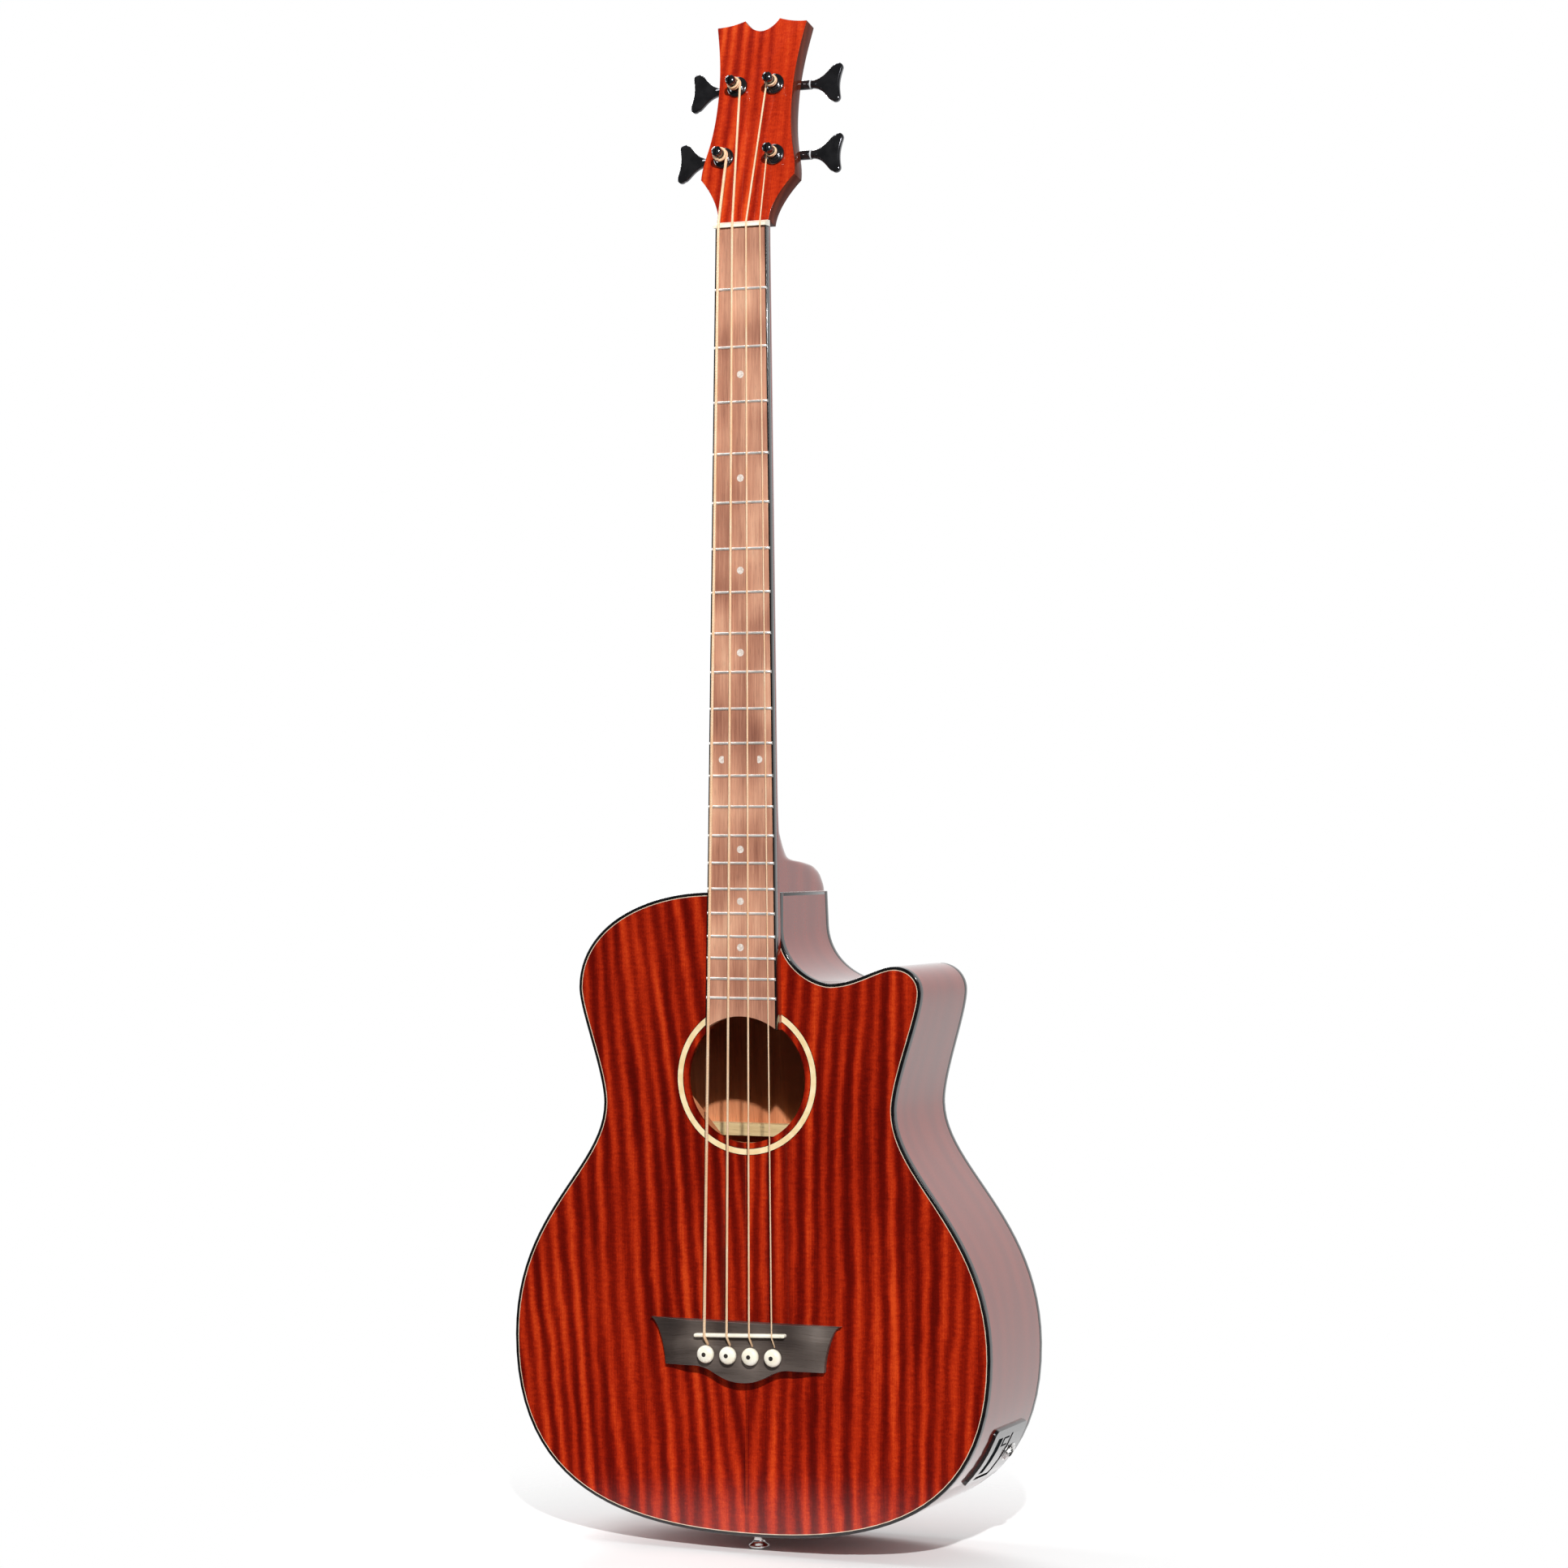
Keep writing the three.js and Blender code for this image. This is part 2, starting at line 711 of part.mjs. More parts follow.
function rosette() {
  const shape = new THREE.Shape();
  shape.absarc(0, soundholeZ, ringInnerRadius + ringWidth, 0, 2 * Math.PI);
  shape.holes.push(circlePath(ringInnerRadius, 0, soundholeZ));
  return slab(shape, 0, ringDepth);
}

const topBinding = () => slab(ringShape(0, bindingWidth), 0, bindingHeight);

function cornerStripZone(gap) {
  const low = space(cornerX - bindingWidth - gap, bindingHeight + seatGap - gap,
    bodyTopZ - cornerStripHeight - gap);
  const high = space(cornerX + cutOverrun, farBack, bodyTopZ + cutOverrun);
  return solid(box(low, high));
}

function backBinding() {
  const ring = solid(slab(ringShape(0, bindingWidth), -cutOverrun, farBack));
  const edge = ring.intersect(blockBetween(backMinus(bindingHeight), backMinus(0)));
  const upTheCorner = ring.intersect(cornerStripZone(0))
    .intersect(blockBetween(depth(bindingHeight + seatGap), backMinus(0)));
  return joined(edge, upTheCorner);
}

function backPlate() {
  const plan = solid(slab(outlineShape(bindingWidth + seatGap), -cutOverrun, farBack));
  return plan.intersect(blockBetween(backMinus(backThickness), backMinus(0)));
}

const innerFrontY = soundboardThickness + seatGap;
const innerBack = backMinus(backThickness + seatGap);

// Room kept for the neck and tail blocks, also cut out of the linings.
function blockZones(gap) {
  const neckZone = box(
    space(-neckBlockHalf - gap, -cutOverrun, bodyTopZ - neckBlockHeight - gap),
    space(cornerX + cutOverrun, farBack, bodyTopZ + cutOverrun),
  );
  const tailZone = box(
    space(-tailBlockHalf - gap, -cutOverrun, bodyBottomZ - cutOverrun),
    space(tailBlockHalf + gap, farBack, bodyBottomZ + tailBlockHeight + gap),
  );
  return { neckZone: solid(neckZone), tailZone: solid(tailZone) };
}

function blockIn(zone) {
  const inside = solid(slab(outlineShape(sideThickness + seatGap), -cutOverrun, farBack));
  return inside.intersect(zone).intersect(blockBetween(depth(innerFrontY), innerBack));
}

const strapHole = (radius) => solid(
  barAlongZ(radius, bodyBottomZ - cutOverrun, bodyBottomZ + tailBlockHeight, 0, strapButtonY),
);

function rim() {
  const wall = solid(slab(ringShape(0, sideThickness), -cutOverrun, farBack))
    .intersect(blockBetween(depth(bindingHeight + seatGap), backMinus(bindingHeight + seatGap)));
  const liningPlan = ringShape(sideThickness - weldOverlap / 4, sideThickness + liningWidth);
  const liningBar = solid(slab(liningPlan, -cutOverrun, farBack));
  const { neckZone, tailZone } = blockZones(seatGap);
  const frontLining = liningBar.intersect(
    blockBetween(depth(innerFrontY), depth(innerFrontY + liningHeight)),
  );
  const backLining = liningBar.intersect(
    blockBetween(backMinus(backThickness + seatGap + liningHeight), innerBack),
  );
  const linings = cut(joined(frontLining, backLining), neckZone, tailZone, panelOpening(seatGap));
  return cut(
    joined(wall, linings),
    cornerStripZone(seatGap),
    panelOpening(seatGap),
    solid(onPanel(barAlongX(jackRimHoleRadius, -panelFrameReach, panelFrameReach, jackY, 0))),
    strapHole(strapScrewRadius + seatGap),
  );
}

// A wooden bar on a curved or flat face, with its ends thinned out.
function braceBar(from, to, width, height, faceY) {
  const length = from.distanceTo(to);
  const lift = height / 3;
  const taper = Math.min(height * 4, length / 3);
  const side = new THREE.Shape([
    flat(0, faceY), flat(length, faceY), flat(length, faceY + lift),
    flat(length - taper, faceY + height), flat(taper, faceY + height), flat(0, faceY + lift),
  ]);
  const bar = prismAlongZ(side, -width / 2, width / 2);
  return solid(bar.rotateY(-Math.atan2(to.y - from.y, to.x - from.x)).translate(from.x, 0, from.y));
}

// The X crosses between the soundhole and the bridge, and its plate reaches both of its arms.
function soundboardBracing() {
  const crossing = flat(0, THREE.MathUtils.lerp(soundholeZ, bridgeTopZ, 0.444));
  const armTop = flat(soundholeRadius * 2.33, soundholeZ + soundholeRadius * 1.06);
  const reach = armTop.clone().sub(crossing);
  const armLow = crossing.clone().addScaledVector(reach, -1.4);
  const flip = (point) => flat(-point.x, point.y);
  const barZ = soundholeZ + soundholeRadius + braceWidth * 1.1;
  const upperBar = [flat(-armTop.x, barZ), flat(armTop.x, barZ)];
  const plateTop = bridgeTopZ + braceWidth / 4;
  const plateLow = bridgeTopZ - bridgeDepth - braceWidth / 2;
  const plateHalf = (crossing.y - plateTop) * (reach.x / reach.y) + braceWidth / 4;
  const plate = slab(rectangle(-plateHalf, plateLow, plateHalf, plateTop),
    innerFrontY, innerFrontY + bridgePlateThickness);
  const toneHeight = braceHeight * 0.75;
  const armAt = (share) => flip(crossing.clone().lerp(armLow, share));
  const slope = flat(reach.x * 1.6, -reach.y * 0.62);
  const bars = [
    braceBar(armLow, armTop, braceWidth, braceHeight, innerFrontY),
    braceBar(flip(armTop), flip(armLow), braceWidth, braceHeight, innerFrontY),
    braceBar(...upperBar, braceWidth * 1.2, braceHeight, innerFrontY),
    ...[0.8, 0.95].map((share) => {
      const start = armAt(share);
      start.x = -start.x;
      return braceBar(start, start.clone().add(slope), braceWidth, toneHeight, innerFrontY);
    }),
  ];
  const inside = solid(slab(
    outlineShape(sideThickness + liningWidth + seatGap), -cutOverrun, farBack,
  ));
  return cut(
    joined(solid(plate), ...bars).intersect(inside),
    blockZones(seatGap).tailZone,
    blockZones(seatGap).neckZone,
    ...pinHoles(),
  );
}

const backBraceShares = [0.17, 0.385, 0.64, 0.84];

function backBracing() {
  const inside = solid(slab(
    outlineShape(sideThickness + liningWidth + seatGap), -cutOverrun, farBack,
  ));
  const stripPlan = rectangle(-backStripWidth / 2, bodyBottomZ, backStripWidth / 2, bodyTopZ);
  const strip = solid(slab(stripPlan, -cutOverrun, farBack)).intersect(
    blockBetween(backMinus(backThickness + seatGap + backStripThickness), innerBack),
  );
  const half = lowerBoutWidth / 2;
  const ladder = backBraceShares.map((share) => {
    const z = downBody(share);
    return solid(slab(rectangle(-half, z - backBraceWidth / 2, half, z + backBraceWidth / 2),
      -cutOverrun, farBack));
  });
  const bars = joined(...ladder).intersect(
    blockBetween(backMinus(backThickness + seatGap + backBraceHeight), innerBack),
  );
  const { neckZone, tailZone } = blockZones(seatGap);
  return cut(joined(strip, bars).intersect(inside), neckZone, tailZone);
}

// Neck, fretboard and frets

// The board's outline below its upper corners. Its end follows the soundhole's edge.
function boardShape(upperCorners) {
  const endHalf = boardHalfWidth(soundholeZ + soundholeRadius);
  const halfAngle = Math.asin(endHalf / soundholeRadius);
  const shape = new THREE.Shape(upperCorners);
  shape.absarc(0, soundholeZ, soundholeRadius, Math.PI / 2 + halfAngle, Math.PI / 2 - halfAngle, true);
  return shape;
}

const mirrored = (corners) => [...corners, ...corners.map(({ x, y }) => flat(-x, y)).reverse()];

// Section of the board across its width: a row of facets that follow its arch.
const archHalf = nutWidth * 0.75;

function archPoints() {
  return Array.from({ length: boardArchSteps + 1 }, (_, i) => {
    const x = THREE.MathUtils.lerp(-archHalf, archHalf, i / boardArchSteps);
    return flat(x, boardFrontY + boardArch(x));
  });
}

// Depth of the board's faceted front at one place across its width.
function boardFaceY(x) {
  const points = archPoints();
  const right = Math.max(points.findIndex((point) => point.x >= x), 1);
  const [a, b] = [points[right - 1], points[right]];
  return THREE.MathUtils.mapLinear(x, a.x, b.x, a.y, b.y);
}

const fretWidth = 2.7;
const fretRise = 1.1;
const fretTangWidth = 0.6;
const fretTangDepth = 1.5;
const fretSeat = 0.1;
const fretHalfLength = (fret) => boardHalfWidth(fretZ(fret)) - boardBindingWidth - seatGap;

function fretboard() {
  const section = new THREE.Shape([
    ...archPoints(), flat(archHalf, boardBackY), flat(-archHalf, boardBackY),
  ]);
  const bar = solid(prismAlongZ(section, soundholeZ, nutZ));
  const aboveNut = nutZ + cutOverrun;
  const plan = solid(slab(
    boardShape(mirrored([flat(boardHalfWidth(aboveNut), aboveNut)])),
    boardFrontY - cutOverrun, boardBackY + cutOverrun,
  ));
  const slots = Array.from({ length: fretCount }, (_, i) => {
    const slotHalf = fretHalfLength(i + 1) + seatGap;
    const slotWidth = fretTangWidth + 2 * seatGap;
    const z = fretZ(i + 1);
    return solid(box(
      space(-slotHalf, boardFrontY - cutOverrun, z - slotWidth / 2),
      space(slotHalf, boardFrontY + boardArch(slotHalf) + fretTangDepth + seatGap, z + slotWidth / 2),
    ));
  });
  return cut(bar.intersect(plan), ...slots);
}

// A fret: a low crown over a tang that sits in the board's slot.
function fretWire(fret) {
  const z = fretZ(fret);
  const half = fretHalfLength(fret);
  const section = (rise) => [
    flat(-fretWidth / 2, 0), flat(-fretWidth * 0.3, rise), flat(fretWidth * 0.3, rise),
    flat(fretWidth / 2, 0), flat(fretTangWidth / 2, 0), flat(fretTangWidth / 2, -fretTangDepth),
    flat(-fretTangWidth / 2, -fretTangDepth), flat(-fretTangWidth / 2, 0),
  ];
  const corners = archPoints().map((point) => point.x).filter((x) => Math.abs(x) < half);
  const rings = [-half, ...corners, half].map((x) => {
    const seatY = boardFaceY(x) - fretSeat;
    return section(fretRise).map((point) => space(x, seatY - point.y, z + point.x));
  });
  return loft(rings, section(fretRise));
}

// A neck section at one height: flat in front, rounded or boxy behind.
function neckSection(z, half, thickness, squareness) {
  return Array.from({ length: neckSectionSteps + 1 }, (_, i) => {
    const angle = (Math.PI * i) / neckSectionSteps;
    const across = Math.sign(Math.cos(angle)) * Math.abs(Math.cos(angle)) ** (2 / squareness);
    const back = Math.sin(angle) ** (2 / squareness);
    return space(half * across, neckFrontY + thickness * back, z);
  });
}

// Heel sections: height as a share of the heel's, depth as a share of the body's, squareness.
const heelShares = [
  [1.5, 0.02, 2.3], [1.2, 0.06, 2.4], [1.04, 0.14, 2.6], [0.94, 0.32, 3], [0.86, 0.48, 3.6],
  [0.74, 0.66, 4.4], [0.56, 0.82, 5], [0.34, 0.92, 5.6], [0.12, 0.98, 6], [0, 1, 6],
];

function neckShaft() {
  const thicknessAt = (z) => THREE.MathUtils.mapLinear(z, nutZ, 0, neckDepthAtNut, neckDepthAtBody);
  const topZ = headZ + headRise / 2;
  const stub = neckSection(topZ, nutWidth / 2 - headLedge, thicknessAt(topZ), shaftSquareness);
  const shaft = [nutZ, nutZ / 2].map((z) => (
    neckSection(z, boardHalfWidth(z), thicknessAt(z), shaftSquareness)
  ));
  const heelBottomZ = bodyTopZ + seatGap;
  const heelThickness = heelSideDepth + backCrown - neckFrontY - seatGap;
  const heel = heelShares.map(([heightShare, depthShare, squareness]) => {
    const z = THREE.MathUtils.lerp(heelBottomZ, heelHeight, heightShare);
    const thickness = THREE.MathUtils.lerp(thicknessAt(z), heelThickness, depthShare);
    return neckSection(z, boardHalfWidth(Math.max(z, 0)), thickness, squareness);
  });
  return solid(loft([stub, ...shaft, ...heel]));
}

function headOutline() {
  const path = new THREE.Shape();
  path.moveTo(-nutWidth / 2, 0);
  sweep(path, flat(-headWidestHalf, headWidestS), 'y', 0.47, 'x', 0.02);
  sweep(path, flat(-headWaistHalf, headWaistS), 'y', 0.28, 'y', 0.64);
  sweep(path, flat(-headTopHalf, headTopS), 'y', 0.5, 'y', 0.05);
  sweep(path, flat(-headPeakHalf, headPeakS), 'x', 0.6, 'x', 0.05);
  sweep(path, flat(0, headDipS), 'y', 0.1, 'x', 0.55);
  const left = path.getPoints(headCurveSteps);
  const right = left.slice(0, -1).reverse().map((point) => flat(-point.x, point.y));
  return new THREE.Shape([...left, ...right]);
}

// The headstock's frame: x stays, y runs into its face, z runs up along its face.
const headMatrix = new THREE.Matrix4()
  .makeTranslation(0, headFaceY, headZ)
  .multiply(new THREE.Matrix4().makeRotationX(-headTilt));
const onHead = (geometry) => geometry.applyMatrix4(headMatrix);
const headPoint = (x, rise, s) => space(x, -rise, s).applyMatrix4(headMatrix);

// The tongue under the board's end, with a narrower root inside the heel.
function tongueShape() {
  const ledgeZ = bodyTopZ + seatGap;
  const half = boardHalfWidth(0);
  const rootHalf = half - headLedge;
  return boardShape(mirrored([
    flat(half, ledgeZ), flat(rootHalf, ledgeZ), flat(rootHalf, heelHeight / 2),
  ]));
}

function neck() {
  const head = solid(onHead(slab(headOutline(), 0, headThickness)));
  const tongue = solid(slab(tongueShape(), neckFrontY, -seatGap));
  const holes = tunerPlaces.map(({ x, s }) => solid(onHead(
    barAlongY(bushingRadius + seatGap, -cutOverrun, headThickness + cutOverrun, x, s, roundSteps),
  )));
  const nutRoom = box(
    space(-nutWidth, -nutRise - cutOverrun, nutZ - cutOverrun),
    space(nutWidth, neckFrontY, headZ),
  );
  return cut(joined(neckShaft(), tongue, head), solid(nutRoom), ...holes);
}

function nut() {
  const half = nutWidth / 2 + nutOverhang;
  const side = new THREE.Shape([
    flat(boardBackY, nutZ + seatGap), flat(boardBackY, nutZ + nutThickness),
    flat(-headRise - nutThickness / 2, nutZ + nutThickness), flat(-nutRise, nutZ + nutThickness / 2),
    flat(-nutRise, nutZ + seatGap),
  ]);
  return cut(solid(prismAlongX(side, -half, half)), ...nutGrooves());
}

// Bridge, saddle and pins

function bridgeOutline() {
  const half = bridgeWidth / 2;
  const lowZ = bridgeTopZ - bridgeWingDepth;
  const lobeHalf = bridgeCentreWidth * 0.45;
  const cornerHalf = half * 0.835;
  const path = new THREE.Shape();
  path.moveTo(-half, bridgeTopZ);
  sweep(path, flat(-cornerHalf, lowZ), 'x', 0.75, 'y', 0.5);
  sweep(path, flat(-lobeHalf, lowZ + bridgeWingDepth * 0.02), 'x', 0.5, 'x', 0.2);
  sweep(path, flat(0, bridgeTopZ - bridgeDepth), 'x', 0.4, 'x', 0.5);
  const left = path.getPoints(headCurveSteps);
  const right = left.slice(0, -1).reverse().map((point) => flat(-point.x, point.y));
  return new THREE.Shape([...left, ...right]);
}

function bridge() {
  const half = bridgeWidth / 2;
  const centreHalf = bridgeCentreWidth / 2;
  const wing = THREE.MathUtils.lerp(bridgeHeight, bridgeTipHeight, 0.8);
  const middle = THREE.MathUtils.lerp(centreHalf, half, 0.45);
  const face = new THREE.Shape([
    flat(-half, -seatGap), flat(half, -seatGap), flat(half, -bridgeTipHeight), flat(middle, -wing),
    flat(centreHalf, -bridgeHeight), flat(-centreHalf, -bridgeHeight), flat(-middle, -wing),
    flat(-half, -bridgeTipHeight),
  ]);
  const sideView = solid(prismAlongZ(face, bridgeTopZ - bridgeDepth, bridgeTopZ));
  const plan = solid(slab(bridgeOutline(), -bridgeHeight, -seatGap));
  const slot = slab(saddleShape(seatGap), -bridgeHeight - cutOverrun,
    -bridgeHeight + saddleSlotDepth, cornerSteps - 1);
  return cut(
    plan.intersect(sideView),
    solid(slot),
    ...pinHoles(),
  );
}

function saddleShape(gap) {
  const halfLength = saddleLength / 2 + gap;
  const halfThickness = saddleThickness / 2 + gap;
  return roundedRectangle(-halfLength, saddleZ - halfThickness, halfLength, saddleZ + halfThickness,
    halfThickness * 0.95);
}

function saddle() {
  const plan = slab(saddleShape(0), -saddleTopRise, saddleSlotDepth - bridgeHeight - seatGap,
    cornerSteps - 1);
  const half = saddleThickness / 2;
  const crown = half * 0.8;
  const side = new THREE.Shape([
    flat(0, saddleZ - half), flat(0, saddleZ + half), flat(-saddleTopRise + crown, saddleZ + half),
    flat(-saddleTopRise, saddleZ + half - crown), flat(-saddleTopRise, saddleZ - half + crown),
    flat(-saddleTopRise + crown, saddleZ - half),
  ]);
  return solid(plan).intersect(solid(prismAlongX(side, -saddleLength / 2, saddleLength / 2)));
}

// A pin: a domed head over a shank that narrows towards its tip.
function bridgePin(i) {
  const headTop = pinHeadRise + pinHeadThickness;
  const top = headTop + pinDomeHeight;
  const profile = [
    [0, -pinTipDepth], [pinTipRadius, -pinTipDepth], [pinShankRadius, 0],
    [pinShankRadius, pinHeadRise], [pinHeadRadius, pinHeadRise], [pinHeadRadius, headTop],
    [pinHeadRadius * 0.75, headTop + pinDomeHeight * 0.65], [pinHeadRadius * 0.35, top], [0, top],
  ];
  return turned(profile, smallRoundSteps + 2)
    .rotateX(Math.PI)
    .translate(stringPlaces[i] * stringSpacingAtSaddle, 0, pinZ);
}

// Strings

const wrapRadius = (i) => postWaistRadius + seatGap + stringRadii[i];
const wrapPitch = (i) => 2 * stringRadii[i] + turnGap;
const collarTop = seatGap + collarThickness + coneHeight;
const postFootTop = collarTop + seatGap + postFootHeight;
const firstWrapRise = (i) => postFootTop + seatGap + stringRadii[i];

// Where the string, coming from the nut, touches its post's inner side.
function wrapStart(i) {
  const { side, x, s } = tunerPlaces[i];
  const toNut = flat(stringPlaces[i] * stringSpacingAtNut - x, -s);
  const opening = Math.acos(wrapRadius(i) / toNut.length());
  return Math.atan2(toNut.y, toNut.x) - side * opening;
}

// The wraps run round the post and climb away from the headstock.
function wrapPoints(i) {
  const { side, x, s } = tunerPlaces[i];
  const steps = Math.round(stringTurns[i] * stepsPerTurn);
  const start = wrapStart(i);
  return Array.from({ length: steps + 1 }, (_, k) => {
    const turn = k / stepsPerTurn;
    const angle = start - side * 2 * Math.PI * turn;
    const rise = firstWrapRise(i) + wrapPitch(i) * turn;
    const radius = wrapRadius(i);
    return headPoint(x + radius * Math.cos(angle), rise, s + radius * Math.sin(angle));
  });
}

function stringRoute(i) {
  const radius = stringRadii[i];
  const xSaddle = stringPlaces[i] * stringSpacingAtSaddle;
  const xNut = stringPlaces[i] * stringSpacingAtNut;
  const holeZ = pinZ + stringOffset(i);
  const ballFrontY = innerFrontY + bridgePlateThickness + seatGap;
  const saddleY = -stringRiseAtSaddle - radius;
  const nutY = -stringRiseAtNut - radius;
  const bendY = -bridgeHeight * 0.5;
  const bend = bridgeHeight * 0.15;
  const wraps = wrapPoints(i);
  const out = wraps.at(-1).clone().sub(wraps.at(-2)).setLength(2 * radius);
  const points = [
    space(xSaddle, ballFrontY + ballLength, holeZ),
    space(xSaddle, ballFrontY + ballOverhang, holeZ),
    space(xSaddle, ballFrontY, holeZ),
    space(xSaddle, bendY, holeZ),
    space(xSaddle, bendY - bend, holeZ + bend / 4),
    space(xSaddle, bendY - bend * 1.9, holeZ + bend),
    space(xSaddle, saddleY + radius, saddleZ - saddleThickness / 2),
    space(xSaddle, saddleY, saddleZ),
    space(xNut, nutY, nutZ + nutThickness / 4),
    space(xNut, nutY + radius / 4, nutZ + nutThickness * 0.8),
    ...wraps,
    wraps.at(-1).clone().add(out),
  ];
  const radii = points.map((_, k) => (k < 2 ? radius + ballOverhang : radius));
  return { points, radii };
}

const routes = stringRadii.map((_, i) => stringRoute(i));

function stringTube(i) {
  const { points, radii } = routes[i];
  const rings = tubeRings(points, radii, stringSides);
  const half = stepsPerTurn / 2;
  const wraps = rings.slice(-stepsPerTurn * stringTurns[i] - 2);
  let least = Infinity;
  wraps.forEach((ring, a) => wraps.slice(a + half).forEach((other) => {
    ring.forEach((p) => other.forEach((q) => { least = Math.min(least, p.distanceTo(q)); }));
  }));
  console.log(`string_${i + 1}: least gap between its turns ${least.toFixed(2)} mm`);
  return loft(rings);
}

// The strings' routes with room round them, which cut the nut's grooves. A hexagon's
// corners stand further out than its sides, so the room is widened by that share.
const hexagonShare = 1 / Math.cos(Math.PI / stringSides);

function nutGrooves() {
  return routes.map(({ points }, i) => {
    const room = (stringRadii[i] + seatGap) * hexagonShare;
    const saddlePoint = points.findIndex((point) => point.z === saddleZ);
    const reach = points.slice(saddlePoint, saddlePoint + 4);
    return solid(loft(tubeRings(reach, reach.map(() => room), stringSides)));
  });
}

// Tuners, drawn for the right side of the headstock with the key pointing to +X

function mirrorX(geometry) {
  return geometry.scale(-1, 1, 1);
}

function tunerHousing() {
  const backStart = headThickness + seatGap;
  const backEnd = backStart + housingDepth;
  const high = wormOffset + wormOuterRadius + runningGap + housingWall;
  const plan = roundedRectangle(-housingInner, -housingLow, housingOuter, high, housingCorner);
  const sleeveTop = -collarTop;
  const bodies = [
    solid(slab(plan, backStart, backEnd, cornerSteps - 1)),
    solid(barAlongX(shaftSleeveRadius, housingOuter - housingCorner, keyReach - seatGap,
      gearDepth, wormOffset)),
    solid(barAlongY(bushingRadius, sleeveTop + coneHeight / 2, backStart + weldOverlap, 0, 0)),
    solid(turned([
      [0, seatGap], [collarRadius, seatGap], [collarRadius, seatGap + collarThickness],
      [coneTopRadius, seatGap + collarThickness], [coneTopRadius * 0.9, collarTop], [0, collarTop],
    ], roundSteps).rotateX(Math.PI)),
  ];
  const pocketHalf = wheelThickness / 2 + runningGap;
  return cut(
    joined(...bodies),
    solid(barAlongY(postRadius + runningGap, sleeveTop - cutOverrun, gearDepth, 0, 0)),
    solid(barAlongY(wheelOuterRadius + 2 * runningGap, gearDepth - pocketHalf,
      gearDepth + pocketHalf, 0, 0)),
    solid(barAlongX(wormOuterRadius + runningGap, -housingInner + housingWall, keyReach + cutOverrun,
      gearDepth, wormOffset)),
  );
}

// The wheel's teeth lean by the worm's lead, so that the thread lies in their gaps.
function wormWheel() {
  const lean = (toothPitch / (2 * Math.PI * wormPitchRadius)) * (wheelThickness / 2) / wheelPitchRadius;
  const step = (2 * Math.PI) / wheelTeeth;
  const ring = (y, shift) => Array.from({ length: wheelTeeth }, (_, tooth) => {
    const middle = Math.PI / 2 - tooth * step + shift;
    const root = step * wheelToothRootShare / 2;
    const tip = step * wheelToothTipShare / 2;
    return [[wheelRootRadius, root], [wheelOuterRadius, tip], [wheelOuterRadius, -tip],
      [wheelRootRadius, -root]].map(([radius, turn]) => (
      space(radius * Math.cos(middle + turn), y, radius * Math.sin(middle + turn))
    ));
  }).flat();
  const low = ring(gearDepth - wheelThickness / 2, -lean);
  const high = ring(gearDepth + wheelThickness / 2, lean);
  return loft([low, high], low.map((point) => flat(point.x, point.z)));
}

function tunerPost() {
  const waistTop = postFootTop + postWaistLength;
  const top = waistTop + postKnobHeight;
  const profile = [
    [0, -gearDepth], [postRadius, -gearDepth], [postRadius, collarTop + seatGap],
    [postFootRadius, collarTop + seatGap], [postFootRadius, postFootTop],
    [postWaistRadius, postFootTop], [postWaistRadius, waistTop], [postKnobRadius, waistTop],
    [postKnobRadius, top - postKnobHeight * 0.4], [postKnobRadius * 0.5, top], [0, top],
  ];
  const slot = box(
    space(-postSlotWidth / 2, -top - cutOverrun, -postKnobRadius - cutOverrun),
    space(postSlotWidth / 2, -top + postSlotDepth, postKnobRadius + cutOverrun),
  );
  const stem = solid(turned(profile, smallRoundSteps + 2).rotateX(Math.PI));
  return cut(joined(stem, solid(wormWheel())), solid(slot));
}

// The thread starts half a pitch from the wheel's middle tooth, on the side that faces it.
function worm() {
  const steps = wormTurns * wormStepsPerTurn;
  const rings = Array.from({ length: steps + 1 }, (_, k) => {
    const turn = k / wormStepsPerTurn;
    const angle = -Math.PI / 2 + 2 * Math.PI * turn;
    const middle = toothPitch * (turn - wormTurns / 2);
    const root = toothPitch * threadRootShare / 2;
    const tip = toothPitch * threadTipShare / 2;
    const inner = wormCoreRadius * 0.8;
    return [[-root, inner], [-tip, wormOuterRadius], [tip, wormOuterRadius], [root, inner]].map(
      ([along, radius]) => space(middle + along, gearDepth + radius * Math.cos(angle),
        wormOffset + radius * Math.sin(angle)),
    );
  });
  const reach = toothPitch * (wormTurns / 2 + 1);
  const core = barAlongX(wormCoreRadius, -reach, reach, gearDepth, wormOffset);
  return joined(solid(core), solid(loft(rings)));
}

function keyOutline() {
  const lobeX = keyLength - keyLobeRadius;
  const path = new THREE.Shape();
  path.moveTo(0, keyNeckHalf);
  sweep(path, flat(lobeX - keyLobeRadius * 0.75, keyLobeSpread + keyLobeRadius * 0.66), 'x', 0.62, 'x', 0.2);
  path.absarc(lobeX, keyLobeSpread, keyLobeRadius, Math.PI * 0.7, -0.12, true);
  const upper = path.getPoints(headCurveSteps - 1);
  const waist = flat(keyLength - keyLobeRadius * 0.45, 0);
  const lower = upper.slice().reverse().map((point) => flat(point.x, -point.y));
  return new THREE.Shape([...upper, waist, ...lower]);
}

